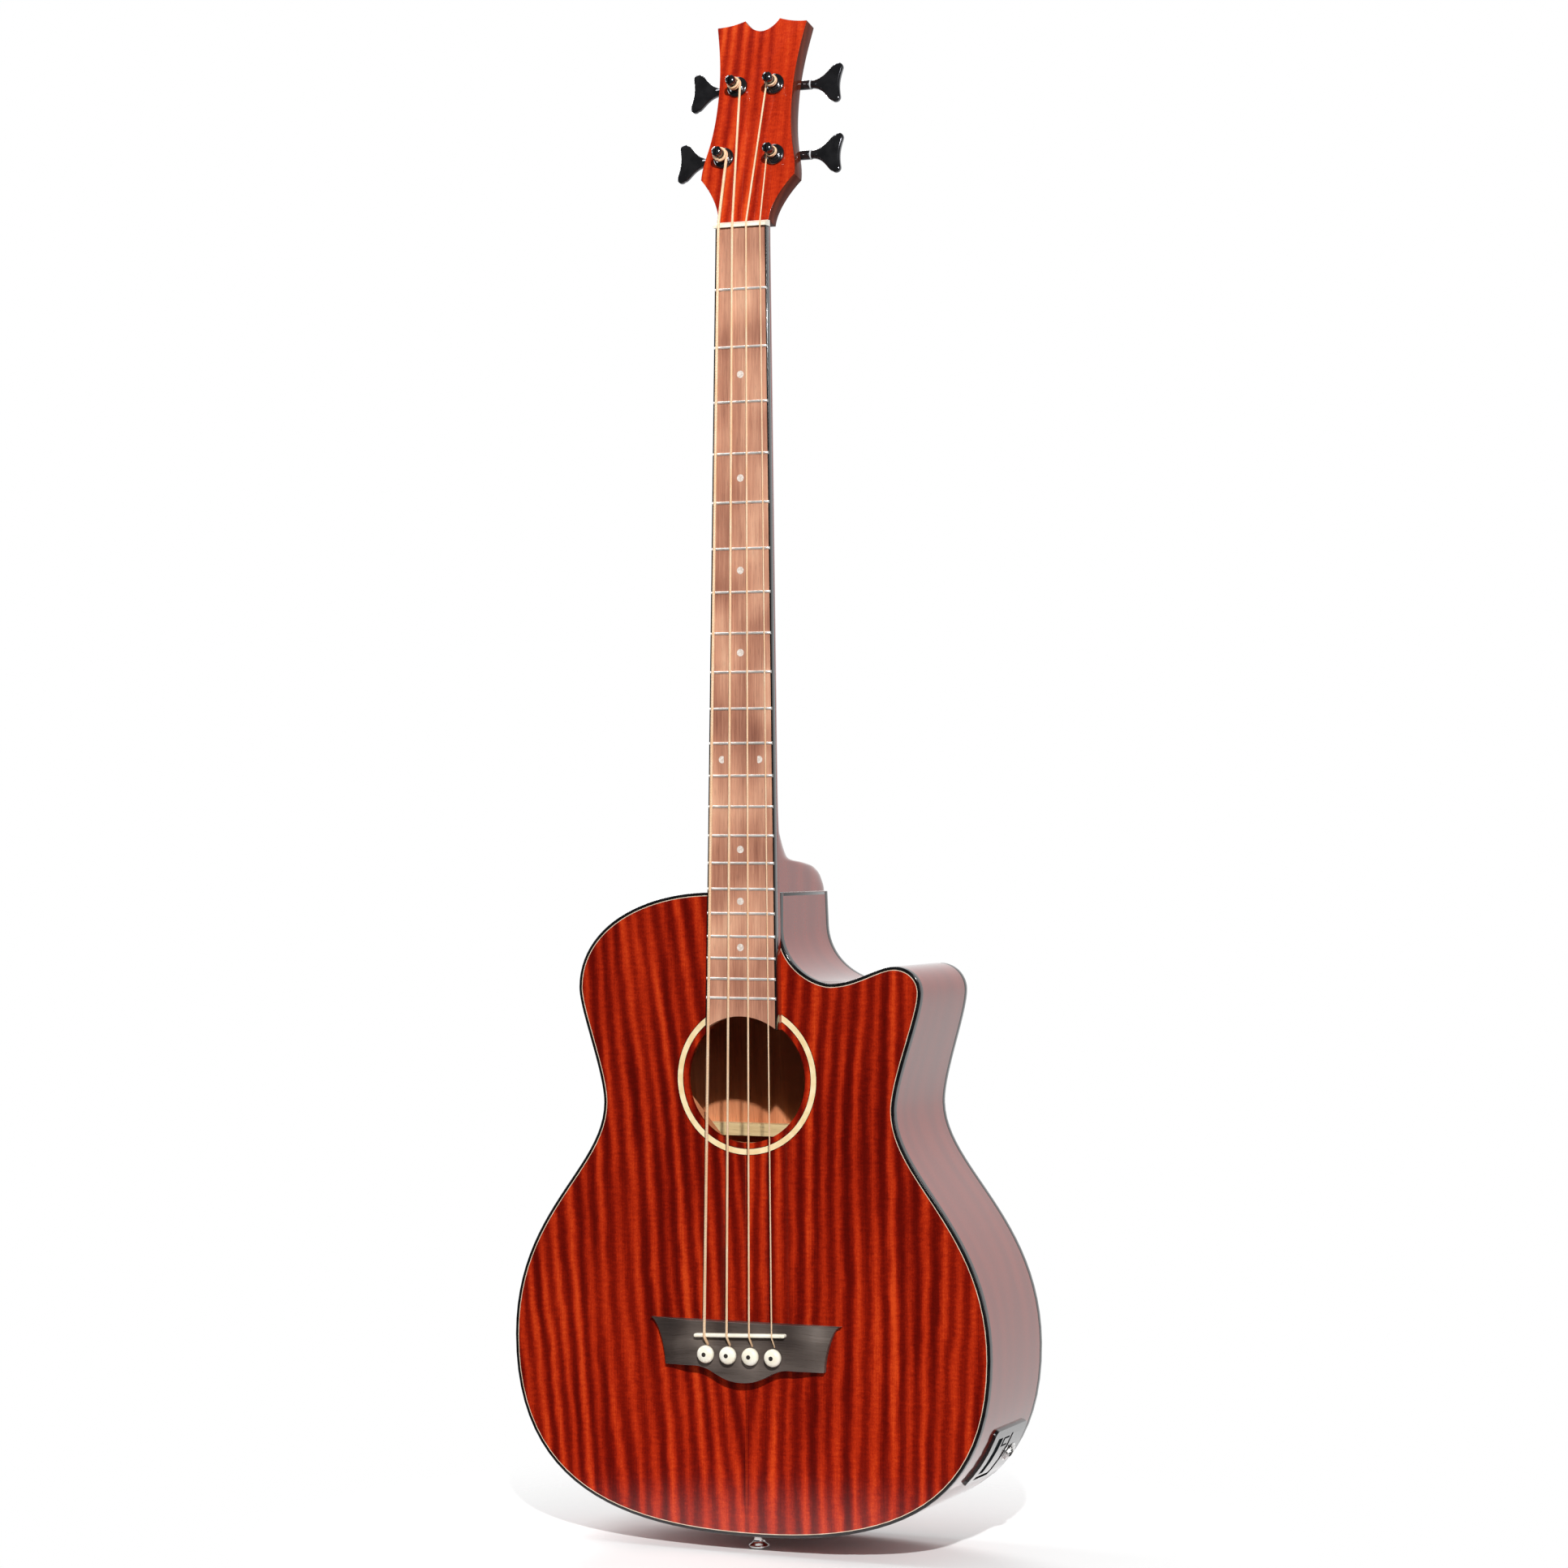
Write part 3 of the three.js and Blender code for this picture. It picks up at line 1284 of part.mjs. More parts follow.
function tunerKey() {
  const settings = {
    depth: keyThickness - 2 * keyBevel, bevelEnabled: true, bevelSegments: 1,
    bevelSize: keyBevel, bevelThickness: keyBevel, bevelOffset: -keyBevel,
  };
  const button = new THREE.ExtrudeGeometry(keyOutline(), settings)
    .rotateX(Math.PI / 2)
    .translate(keyReach + keyWasherThickness / 2, gearDepth + keyThickness / 2 - keyBevel, wormOffset);
  const shaftStart = toothPitch * (wormTurns / 2 + 1) - weldOverlap;
  return joined(
    worm(),
    solid(barAlongX(shaftRadius, shaftStart, keyReach + keyLength / 3, gearDepth, wormOffset)),
    solid(barAlongX(keyWasherRadius, keyReach, keyReach + keyWasherThickness, gearDepth, wormOffset)),
    solid(button),
  );
}

// Strap button, output jack and battery box

function strapButton() {
  const rise = seatGap;
  const profile = [
    [0, -strapScrewLength], [strapScrewRadius, -strapScrewLength + strapScrewRadius],
    [strapScrewRadius, rise], [strapBaseRadius, rise], [strapBaseRadius, rise + strapBaseHeight / 2],
    [strapWaistRadius, rise + strapBaseHeight * 1.4], [strapWaistRadius, strapButtonLength * 0.62],
    [strapFlangeRadius, strapButtonLength * 0.82], [strapFlangeRadius, strapButtonLength * 0.92],
    [strapEndRadius, strapButtonLength], [0, strapButtonLength],
  ];
  return turned(profile, smallRoundSteps + 2).rotateX(-Math.PI / 2)
    .translate(0, strapButtonY, bodyBottomZ);
}

// The hole in the side that the battery box's frame passes through.
function panelOpening(gap) {
  return panelBox(
    doorAlong / 2 + panelFrameWall + gap,
    doorFrontY - panelFrameWall - gap,
    doorBackY + panelFrameWall + gap,
    bayDepth + panelFrameReach,
  );
}

const hingeZ = -doorAlong / 2 + hingeRadius + doorGap;

// How far the side's surface lies outside the panel's middle line at one place along it.
function sideBulge(along) {
  const probe = new THREE.Vector3(0, 0, along).applyMatrix4(panelMatrix);
  const out = flat(Math.cos(panelTurn), -Math.sin(panelTurn));
  const start = flat(probe.x, probe.z);
  let bulge = 0;
  outline.forEach((point, i) => {
    const next = outline[(i + 1) % outline.length];
    const edge = next.clone().sub(point);
    const gap = point.clone().sub(start);
    const cross = out.x * edge.y - out.y * edge.x;
    const reach = (gap.x * edge.y - gap.y * edge.x) / cross;
    const share = (gap.x * out.y - gap.y * out.x) / cross;
    if (share >= 0 && share <= 1 && Math.abs(reach) < panelFrameReach) bulge = reach;
  });
  return bulge;
}

const hingeX = sideBulge(hingeZ) + (doorRise - doorInset) / 2;

function jackPanel() {
  const halfAlong = doorAlong / 2;
  const skin = cut(insideSide(panelRise), insideSide(seatGap));
  const flange = skin.intersect(panelBox(panelAlong / 2, panelFrontY, panelFrontY + panelDepthWidth,
    panelFrameReach, panelCorner));
  const frameZone = panelBox(halfAlong + panelFrameWall, doorFrontY - panelFrameWall,
    doorBackY + panelFrameWall, panelFrameReach);
  const frame = cut(insideSide(panelRise), insideSide(-panelFloorInset)).intersect(frameZone);
  const bayFront = doorMiddleY - bayWidth / 2;
  const bayBack = doorMiddleY + bayWidth / 2;
  const bayOuter = onPanel(box(
    space(-bayDepth - bayWall, bayFront - bayWall, -bayAlong / 2 - bayWall),
    space(sideBulge(0) - panelFloorInset + bayWall, bayBack + bayWall, bayAlong / 2 + bayWall),
  ));
  const bayInner = onPanel(box(
    space(-bayDepth, bayFront, -bayAlong / 2),
    space(panelFrameReach, bayBack, bayAlong / 2),
  ));
  const doorRoom = cut(
    panelBox(halfAlong + doorGap, doorFrontY - doorGap, doorBackY + doorGap, panelFrameReach),
    insideSide(-doorInset - doorGap),
  );
  const knuckleRoom = onPanel(barAlongX(hingeRadius + doorGap, doorFrontY - doorGap,
    doorBackY + doorGap, 0, 0).rotateZ(Math.PI / 2).translate(hingeX, 0, hingeZ));
  const pinRoom = onPanel(barAlongY(hingePinRadius + seatGap,
    doorFrontY - hingePinLength - seatGap, doorBackY + hingePinLength + seatGap, hingeX, hingeZ));
  const jackHole = onPanel(barAlongX(jackBarrelRadius + seatGap, -panelFrameReach, panelFrameReach,
    jackY, 0, roundSteps));
  const jackSeat = onPanel(barAlongX(jackNutRadius + seatGap, sideBulge(0) + panelRise - seatGap,
    panelFrameReach, jackY, 0, roundSteps));
  return cut(joined(flange, frame, solid(bayOuter)), solid(bayInner), doorRoom, solid(knuckleRoom),
    solid(pinRoom), solid(jackHole), solid(jackSeat));
}

function batteryDoor() {
  const halfAlong = doorAlong / 2;
  const plate = cut(insideSide(doorRise), insideSide(-doorInset)).intersect(
    panelBox(halfAlong, doorFrontY, doorBackY, panelFrameReach),
  );
  const belowHinge = onPanel(box(
    space(-panelFrameReach, doorFrontY - cutOverrun, -panelAlong),
    space(panelFrameReach, doorBackY + cutOverrun, hingeZ),
  ));
  const knuckle = onPanel(barAlongY(hingeRadius, doorFrontY, doorBackY, hingeX, hingeZ));
  const pin = onPanel(barAlongY(hingePinRadius, doorFrontY - hingePinLength,
    doorBackY + hingePinLength, hingeX, hingeZ));
  const grooveFront = doorMiddleY - doorGrooveWidth / 2;
  const groove = cut(
    panelBox(doorGrooveLength / 2, grooveFront, grooveFront + doorGrooveWidth, panelFrameReach),
    insideSide(doorRise - doorGrooveDepth),
  );
  const notch = onPanel(box(
    space(-panelFrameReach, doorBackY - doorNotchWidth, halfAlong - doorNotchLength),
    space(panelFrameReach, doorBackY + cutOverrun, halfAlong + cutOverrun),
  ));
  return cut(
    joined(cut(plate, solid(belowHinge)), solid(knuckle), solid(pin)),
    groove,
    cut(solid(notch), insideSide(doorRise - doorGrooveDepth)),
  );
}

function outputJack() {
  const face = sideBulge(0) + panelRise;
  const top = face + jackNutThickness + jackLipHeight;
  const bottom = face - jackLength;
  const barrel = barAlongX(jackBarrelRadius, bottom, top, jackY, 0, roundSteps);
  const nutRing = barAlongX(jackNutRadius, face, face + jackNutThickness, jackY, 0, 6);
  const bore = barAlongX(jackBoreRadius, bottom + bayWall, top + cutOverrun, jackY, 0, roundSteps);
  return onPanel(geometryOf(cut(joined(solid(barrel), solid(nutRing)), solid(bore))));
}

// The whole guitar

const guitar = new THREE.Group();
guitar.position.z = -(headZ + hangerHeight);

addPiece(guitar, 'soundboard', soundboard(), stripedWood);
addPiece(guitar, 'rosette', rosette(), creamInlay);
addPiece(guitar, 'rim', rim(), stripedWood);
addPiece(guitar, 'back_plate', backPlate(), stripedWood);
addPiece(guitar, 'top_binding', topBinding(), blackPlastic);
addPiece(guitar, 'back_binding', backBinding(), blackPlastic);
addPiece(guitar, 'neck_block', blockIn(blockZones(0).neckZone), paleWood);
addPiece(guitar, 'tail_block',
  cut(blockIn(blockZones(0).tailZone), strapHole(strapScrewRadius + seatGap)), paleWood);
addPiece(guitar, 'soundboard_bracing', soundboardBracing(), paleWood);
addPiece(guitar, 'back_bracing', backBracing(), paleWood);

addPiece(guitar, 'neck', neck(), headWood);
addPiece(guitar, 'fretboard', fretboard(), boardWood);
addPiece(guitar, 'nut', nut(), bone);
for (let fret = 1; fret <= fretCount; fret += 1) {
  addPiece(guitar, `fret_${String(fret).padStart(2, '0')}`, fretWire(fret), nickel);
}

addPiece(guitar, 'bridge', bridge(), bridgeWood);
addPiece(guitar, 'saddle', saddle(), bone);
stringRadii.forEach((_, i) => {
  addPiece(guitar, `bridge_pin_${i + 1}`, bridgePin(i), bone);
  addPiece(guitar, `string_${i + 1}`, stringTube(i), bronze);
});

const head = new THREE.Group();
head.position.set(0, headFaceY, headZ);
head.rotation.x = -headTilt;
guitar.add(head);
tunerPlaces.forEach(({ side, x, s }, i) => {
  const tuner = new THREE.Group();
  tuner.position.set(x, 0, s);
  head.add(tuner);
  const handed = (body) => (side > 0 ? geometryOf(body) : mirrorX(geometryOf(body)));
  addPiece(tuner, `tuner_${i + 1}_housing`, handed(tunerHousing()), blackChrome);
  addPiece(tuner, `tuner_${i + 1}_post`, handed(tunerPost()), blackChrome);
  addPiece(tuner, `tuner_${i + 1}_key`, handed(tunerKey()), blackChrome);
});

addPiece(guitar, 'strap_button', strapButton(), chrome);
addPiece(guitar, 'jack_panel', jackPanel(), blackPlastic);
addPiece(guitar, 'battery_door', batteryDoor(), blackPlastic);
addPiece(guitar, 'output_jack', outputJack(), chrome);

export default guitar;
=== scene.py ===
# Looks of the acoustic bass guitar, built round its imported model.
# Sizes are millimetres, measured from the 16th fret and the soundboard's face.
# x runs to the viewer's right, y into the body and z up along the neck.

from math import acos, atan2, copysign, cos, pi, radians, sin, sqrt, tan, tau
from types import SimpleNamespace as Sizes

import bpy
from mathutils import Matrix, Vector


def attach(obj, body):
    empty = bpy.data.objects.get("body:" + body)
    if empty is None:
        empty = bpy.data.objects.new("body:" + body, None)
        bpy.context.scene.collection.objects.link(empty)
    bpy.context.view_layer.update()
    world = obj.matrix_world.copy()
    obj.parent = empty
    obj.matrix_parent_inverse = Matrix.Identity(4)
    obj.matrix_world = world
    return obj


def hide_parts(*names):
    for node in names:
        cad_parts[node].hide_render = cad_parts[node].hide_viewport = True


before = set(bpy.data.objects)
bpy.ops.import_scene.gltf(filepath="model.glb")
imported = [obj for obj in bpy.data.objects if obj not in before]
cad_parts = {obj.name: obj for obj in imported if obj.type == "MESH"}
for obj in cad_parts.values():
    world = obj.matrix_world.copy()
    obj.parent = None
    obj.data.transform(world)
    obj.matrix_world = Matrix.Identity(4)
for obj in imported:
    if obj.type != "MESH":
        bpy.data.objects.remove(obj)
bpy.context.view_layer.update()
print("frame loaded:", len(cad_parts), "nodes")

mm = 0.001
scaleLength = 863.6
fine = 128  # corners of a large circle


def fretPlace(fret):  # height of a fret above the 16th
    return scaleLength * (2 ** (-fret / 12) - 2 ** (-16 / 12))


nutPlace = fretPlace(0)
headPlace = nutPlace + 5.3
drop = headPlace + 22  # the frame's origin, where a wall hanger holds the headstock


def local(x, y, z):  # a place in millimetres, before its piece is moved
    return Vector((x * mm, y * mm, z * mm))


def at(x, y, z):
    return local(x, y, z - drop)


def between(low, high, share):
    return low + (high - low) * share


# Small tools for working by hand

def atRest():
    if bpy.context.object and bpy.context.object.mode != "OBJECT":
        bpy.ops.object.mode_set(mode="OBJECT")
    bpy.ops.object.select_all(action="DESELECT")


def pick(*objects):
    atRest()
    for obj in objects:
        obj.select_set(True)
    bpy.context.view_layer.objects.active = objects[-1]


def called(name):  # names the primitive that was just added
    made = bpy.context.object
    made.name = name
    made.data.name = name
    return made


def editMode(obj, kind="FACE"):
    pick(obj)
    bpy.ops.object.mode_set(mode="EDIT")
    bpy.ops.mesh.select_mode(type=kind)


def choose(obj, kind, test):  # the faces that pass the test, or the edges whose two ends do
    editMode(obj, kind)
    bpy.ops.mesh.select_all(action="DESELECT")
    bpy.ops.object.mode_set(mode="OBJECT")
    corners = obj.data.vertices
    for part in obj.data.polygons if kind == "FACE" else obj.data.edges:
        part.select = test(part) if kind == "FACE" else test(*(corners[i].co for i in part.vertices))
    bpy.ops.object.mode_set(mode="EDIT")


def everything(obj, kind="FACE"):  # all of it chosen in edit mode
    editMode(obj, kind)
    bpy.ops.mesh.select_all(action="SELECT")


def outwards(obj):  # faces point outwards
    everything(obj)
    bpy.ops.mesh.normals_make_consistent(inside=False)
    atRest()
    return obj


def settle(obj, world=None):  # moved to that place, which becomes part of its shape
    if world is not None:
        obj.matrix_world = world
    pick(obj)
    bpy.ops.object.transform_apply(location=True, rotation=True, scale=True)
    return obj


def apply(obj, kind, **settings):
    pick(obj)
    modifier = obj.modifiers.new(kind.title(), kind)
    for key, value in settings.items():
        setattr(modifier, key, value)
    bpy.ops.object.modifier_apply(modifier=modifier.name)


def rounded(obj, width, segments=3, angle=40):
    apply(obj, "BEVEL", width=width * mm, segments=segments, limit_method="ANGLE",
          angle_limit=radians(angle))


def carve(obj, *cutters, operation="DIFFERENCE"):
    for cutter in cutters:
        apply(obj, "BOOLEAN", operation=operation, object=cutter, solver="EXACT")
        bpy.data.objects.remove(cutter)


def merged(name, *objects):
    pick(*objects)
    bpy.ops.object.join()
    return called(name)


def copied(obj, name):
    pick(obj)
    bpy.ops.object.duplicate()
    return called(name)


quarterX, quarterY, quarterZ = (Matrix.Rotation(pi / 2, 4, axis) for axis in "XYZ")

# Outlines: straight lines and curves whose two handles each run along one axis

def loopOf(start, bends, steps):
    points = [Vector(start)]
    for bend in bends:
        end = Vector(bend[:2])
        begin = points[-1]
        if len(bend) == 2:
            points.append(end)
            continue
        first, second = begin.copy(), end.copy()
        startAxis, startShare, endAxis, endShare = bend[2:]
        first[startAxis] += (end - begin)[startAxis] * startShare
        second[endAxis] -= (end - begin)[endAxis] * endShare
        for i in range(1, steps + 1):
            t = i / steps
            s = 1 - t
            points.append(begin * s ** 3 + first * 3 * s * s * t + second * 3 * s * t * t + end * t ** 3)
    if (points[-1] - points[0]).length < 1e-6:
        points.pop()
    return points


def turnOf(loop):
    pairs = zip(loop, loop[1:] + loop[:1])
    return copysign(1, sum(a.x * b.y - b.x * a.y for a, b in pairs))


def grown(loop, distance):  # every corner moved outwards, or inwards by a negative distance
    turn = turnOf(loop)
    moved = []
    for i, point in enumerate(loop):
        into = (point - loop[i - 1]).normalized()
        out = (loop[(i + 1) % len(loop)] - point).normalized()
        across = Vector((into.y + out.y, -into.x - out.x)).normalized()
        stretch = across.dot(Vector((into.y, -into.x)))
        moved.append(point + across * (turn * distance / stretch))
    return moved


def mirrored(left):  # a left half joined by its mirror image, with one point shared
    return left + [Vector((-p.x, p.y)) for p in reversed(left[:-1])]


def face(name, corners):  # one flat face with those corners
    bpy.ops.mesh.primitive_circle_add(vertices=len(corners), radius=100 * mm, fill_type="NGON")
    made = called(name)
    for corner, place in zip(made.data.vertices, corners):
        corner.co = place
    return made


def thicken(obj, depth, way=(0, 1, 0)):
    everything(obj)
    bpy.ops.mesh.extrude_region_move(TRANSFORM_OT_translate={"value": Vector(way) * (depth * mm)})
    return outwards(obj)


def plate(name, loop, front, back, place=at):
    return thicken(face(name, [place(p.x, front, p.y) for p in loop]), back - front)


def ring(name, loop, width, front, back):
    made = face(name, [at(p.x, front, p.y) for p in loop])
    everything(made)
    bpy.ops.mesh.inset(thickness=width * mm, use_even_offset=True)
    bpy.ops.mesh.delete(type="FACE")
    atRest()
    return thicken(made, back - front)


def block(name, low, high):  # a box between two corners
    bpy.ops.mesh.primitive_cube_add(size=1, location=(Vector(low) + Vector(high)) / 2)
    made = called(name)
    made.scale = Vector(high) - Vector(low)
    return settle(made)


def rod(name, radius, start, end, vertices=48):
    bpy.ops.mesh.primitive_cylinder_add(
        vertices=vertices, radius=radius * mm, depth=(end - start).length, location=(start + end) / 2,
        rotation=(end - start).to_track_quat("Z", "Y").to_euler())
    return settle(called(name))


def turned(name, profile, steps=48):  # a profile of (radius, height) spun round the z axis
    bpy.ops.mesh.primitive_plane_add(size=mm)
    made = called(name)
    everything(made, "VERT")
    bpy.ops.mesh.merge(type="CENTER")
    here = local(profile[0][0], 0, profile[0][1])
    bpy.ops.transform.translate(value=here)
    for radius, height in profile[1:]:
        there = local(radius, 0, height)
        bpy.ops.mesh.extrude_vertices_move(TRANSFORM_OT_translate={"value": there - here})
        here = there
    bpy.ops.mesh.select_all(action="SELECT")
    bpy.ops.mesh.spin(steps=steps, angle=tau, center=(0, 0, 0), axis=(0, 0, 1))
    bpy.ops.mesh.select_all(action="SELECT")
    bpy.ops.mesh.remove_doubles(threshold=1e-6)
    bpy.ops.mesh.normals_make_consistent(inside=False)
    atRest()
    return made


def skin(name, around, rows, place):  # a rod whose every corner is put in its place
    bpy.ops.mesh.primitive_cylinder_add(vertices=around, radius=1, depth=1)
    made = called(name)
    choose(made, "EDGE", lambda a, b: abs(a.z - b.z) > 0.5)
    bpy.ops.mesh.subdivide(number_cuts=rows - 2)
    atRest()
    for corner in made.data.vertices:
        turn = round(atan2(corner.co.y, corner.co.x) / tau * around) % around
        row = round((corner.co.z + 0.5) * (rows - 1))
        corner.co = place(turn / around, row / (rows - 1))
    return outwards(made)


# Materials

class Tap:  # one output of a node, for use in plain sums and products
    def __init__(self, recipe, socket):
        self.recipe = recipe
        self.socket = socket

    def math(self, operation, *values):
        return self.recipe.node("ShaderNodeMath", {"operation": operation}, dict(enumerate(values)))

    def __add__(self, other):
        return self.math("ADD", self, other)

    __radd__ = __add__

    def __sub__(self, other):
        return self.math("SUBTRACT", self, other)

    def __rsub__(self, other):
        return self.math("SUBTRACT", other, self)

    def __mul__(self, other):
        return self.math("MULTIPLY", self, other)

    __rmul__ = __mul__

    def __abs__(self):
        return self.math("ABSOLUTE", self)

    def sine(self):
        return self.math("SINE", self)

    def over(self, limit):
        return self.math("GREATER_THAN", self, limit)

    def spread(self, low, high, newLow=0.0, newHigh=1.0):
        return self.recipe.node(
            "ShaderNodeMapRange", {"interpolation_type": "SMOOTHSTEP"},
            {0: self, 1: low, 2: high, 3: newLow, 4: newHigh})


def tone(red, green, blue):  # a colour as a picture shows it, made linear
    shares = [c / 255 for c in (red, green, blue)]
    return (*(c / 12.92 if c <= 0.04045 else ((c + 0.055) / 1.055) ** 2.4 for c in shares), 1)


def tones(*stops):  # each a place on the ramp and a colour
    return [(place, tone(*colour)) for place, *colour in stops]


class Mixer:  # adds nodes to one tree
    def __init__(self, tree):
        self.tree = tree

    def feed(self, socket, value):
        if isinstance(value, Tap):
            self.tree.links.new(value.socket, socket)
        else:
            socket.default_value = value

    def node(self, kind, settings=None, values=None, output=0):
        made = self.tree.nodes.new(kind)
        for key, value in (settings or {}).items():
            setattr(made, key, value)
        for key, value in (values or {}).items():
            self.feed(made.inputs[key], value)
        return Tap(self, made.outputs[output])

    def places(self):  # x, y and z in millimetres
        spot = self.node("ShaderNodeTexCoord", output=3)
        split = self.node("ShaderNodeSeparateXYZ", values={0: spot})
        return [Tap(self, socket) * 1000 for socket in split.socket.node.outputs]

    def noise(self, x, y, z, detail=2.0, roughness=0.5):
        spot = self.node("ShaderNodeCombineXYZ", values={0: x, 1: y, 2: z})
        return self.node("ShaderNodeTexNoise", values={
            "Vector": spot, "Scale": 1.0, "Detail": detail, "Roughness": roughness})

    def ramp(self, value, stops):
        made = self.node("ShaderNodeValToRGB", values={0: value})
        elements = made.socket.node.color_ramp.elements
        while len(elements) < len(stops):
            elements.new(0.5)
        for element, stop in zip(elements, stops):
            element.position, element.color = stop
        return made

    def dimmed(self, colour, share):
        grey = self.node("ShaderNodeCombineColor", values={0: share, 1: share, 2: share})
        return self.blend(1.0, colour, grey, "MULTIPLY")

    def blend(self, share, first, second, kind="MIX"):
        settings = {"data_type": "RGBA", "blend_type": kind}
        return self.node("ShaderNodeMix", settings, {0: share, 6: first, 7: second}, output=2)


class Recipe(Mixer):  # a material round its Principled shader
    def __init__(self, name, **constants):
        self.material = bpy.data.materials.new(name)
        self.material.use_nodes = True
        super().__init__(self.material.node_tree)
        self.shader = self.tree.nodes["Principled BSDF"]
        for key, value in constants.items():
            self.shader.inputs[key.replace("_", " ")].default_value = value

    def paint(self, colour=None, roughness=None, bump=None, strength=0.3, distance=0.0002):
        if colour is not None:
            self.feed(self.shader.inputs["Base Color"], colour)
        if roughness is not None:
            self.feed(self.shader.inputs["Roughness"], roughness)
        if bump is not None:
            normal = self.node("ShaderNodeBump", values={
                "Height": bump, "Strength": strength, "Distance": distance})
            self.feed(self.shader.inputs["Normal"], normal)
        return self.material


ribbon = Sizes(  # the striped red wood under its lacquer
    period=13.6, lean=(0.1, 0.02), wander=26, seam=0.4,
    stops=tones((0.0, 70, 5, 1), (0.3, 100, 10, 3), (0.52, 132, 21, 5), (0.76, 178, 42, 12),
                (1.0, 214, 70, 24)),
)
headTones = tones((0.0, 104, 14, 6), (0.3, 146, 28, 11), (0.6, 188, 50, 18), (1.0, 222, 88, 36))
neckTones = tones((0.0, 92, 16, 8), (0.4, 126, 28, 14), (0.7, 150, 42, 22), (1.0, 176, 64, 36))
darkTones = tones((0.0, 64, 22, 14), (0.5, 98, 40, 26), (1.0, 134, 62, 42))


def lacqueredWood(name, across, along, stops, period, wander, seam=0.0, seed=0.0, contrast=1.0,
                  lean=0.0, calm=None, gloss=1.0):
    recipe = Recipe(name, IOR=between(1.15, 1.4, gloss), Coat_Weight=gloss, Coat_Roughness=0.03,
                    Coat_IOR=1.4)
    x, y, z = recipe.places()
    u = across(x, y, z)
    v = along(x, y, z)
    if isinstance(lean, tuple):  # the left half's lean and the right half's
        lean = x.spread(-1.0, 1.0, *lean)
    drift = recipe.noise(u * 0.011, v * 0.0032, seed, detail=1.0)
    fray = recipe.noise(u * 0.1, v * 0.03, seed + 2.0, detail=3.0, roughness=0.6)
    warped = u - v * lean + (drift - 0.5) * wander + (fray - 0.5) * (period * 0.45)
    slower = (warped * (tau / period / 1.71) + 1.3).sine()
    wave = (warped * (tau / period)).sine() + slower * 0.3
    strength = recipe.noise(warped * 0.028, v * 0.006, seed + 4.0, detail=1.0).spread(0.3, 0.6, 0.5, 1.0)
    if calm:
        strength = strength * x.spread(calm[0], calm[1], 1.0, calm[2])
    broad = recipe.noise(warped * 0.035, v * 0.006, seed + 9.0)
    fibre = recipe.noise(u * 0.9, v * 0.02, seed + 15.0, detail=3.0, roughness=0.6)
    sparkle = recipe.noise(u * 0.9, v * 0.55, seed + 21.0)
    ripple = recipe.noise(u * 0.14, v * 0.4, seed + 27.0, roughness=0.6)
    mixed = (wave * strength * (0.29 * contrast) + (broad - 0.5) * (0.7 * contrast)
             + (ripple - 0.5) * (0.35 * contrast) + (fibre - 0.5) * (0.12 + 0.22 * contrast)
             + (sparkle - 0.5) * (0.1 + 0.24 * contrast) + 0.55)
    colour = recipe.ramp(mixed, stops)
    if seam:
        colour = recipe.dimmed(colour, abs(x).spread(seam * 0.3, seam, 0.7, 1.0))
    return recipe.paint(colour, (fibre - 0.5) * 0.08 + 0.16, fibre, 0.03, 0.0001)


def plainWood(name, across, along, stops, roughness, bump, seed, shares=(1.0, 0.8, 0.7)):
    recipe = Recipe(name)
    x, y, z = recipe.places()
    u = across(x, y, z)
    v = along(x, y, z)
    broad = recipe.noise(u * 0.09, v * 0.006, seed)
    fibre = recipe.noise(u * 0.9, v * 0.02, seed + 6.0, detail=4.0, roughness=0.7)
    pores = recipe.noise(u * 2.6, v * 0.09, seed + 11.0)
    # broad patches of lighter and darker tone; in the bridge's wood they are also painted reflection
    patch = recipe.noise(u * 0.02, v * 0.02, seed + 17.0, detail=1.0)
    mixed = (broad - 0.5) * shares[0] + (fibre - 0.5) * shares[1] + (patch - 0.5) * shares[2] + 0.5
    colour = recipe.ramp(mixed, stops)
    shaded = recipe.dimmed(colour, pores.spread(0.58, 0.7, 1.0, 0.7))
    return recipe.paint(shaded, (fibre - 0.5) * 0.25 + roughness, fibre - pores * 0.3, bump)


def ladderBraces(heights, reach):  # pale bars across the back, on a brown strip down its middle
    material = plainWood("ladder_wood", leaning, sideways, tones(
        (0.0, 206, 170, 112), (0.5, 240, 212, 158), (1.0, 252, 236, 192)), 0.7, 0.3, 8.0)
    recipe = Mixer(material.node_tree)
    paint = material.node_tree.nodes["Principled BSDF"].inputs["Base Color"]
    pale = Tap(recipe, paint.links[0].from_socket)
    height = recipe.places()[2]
    strip = 1.0
    for brace in heights:
        strip = strip * abs(height - brace).over(reach)
    recipe.feed(paint, recipe.blend(strip, pale, tone(206, 128, 84)))
    return material


def moulded(name, colour, lighter, roughness, metallic=0.0, coat=0.0, mottle=0.12):
    recipe = Recipe(name, Metallic=metallic, Coat_Weight=coat, Coat_Roughness=0.04)
    x, y, z = recipe.places()
    cloud = recipe.noise(x * mottle, y * mottle, z * mottle, detail=3.0)
    grain = recipe.noise(x * 2.2, y * 2.2, z * 2.2)
    mixed = recipe.blend(cloud.spread(0.35, 0.65), tone(*colour), tone(*lighter))
    return recipe.paint(mixed, (grain - 0.5) * 0.1 + (cloud - 0.5) * 0.08 + roughness, grain, 0.02)


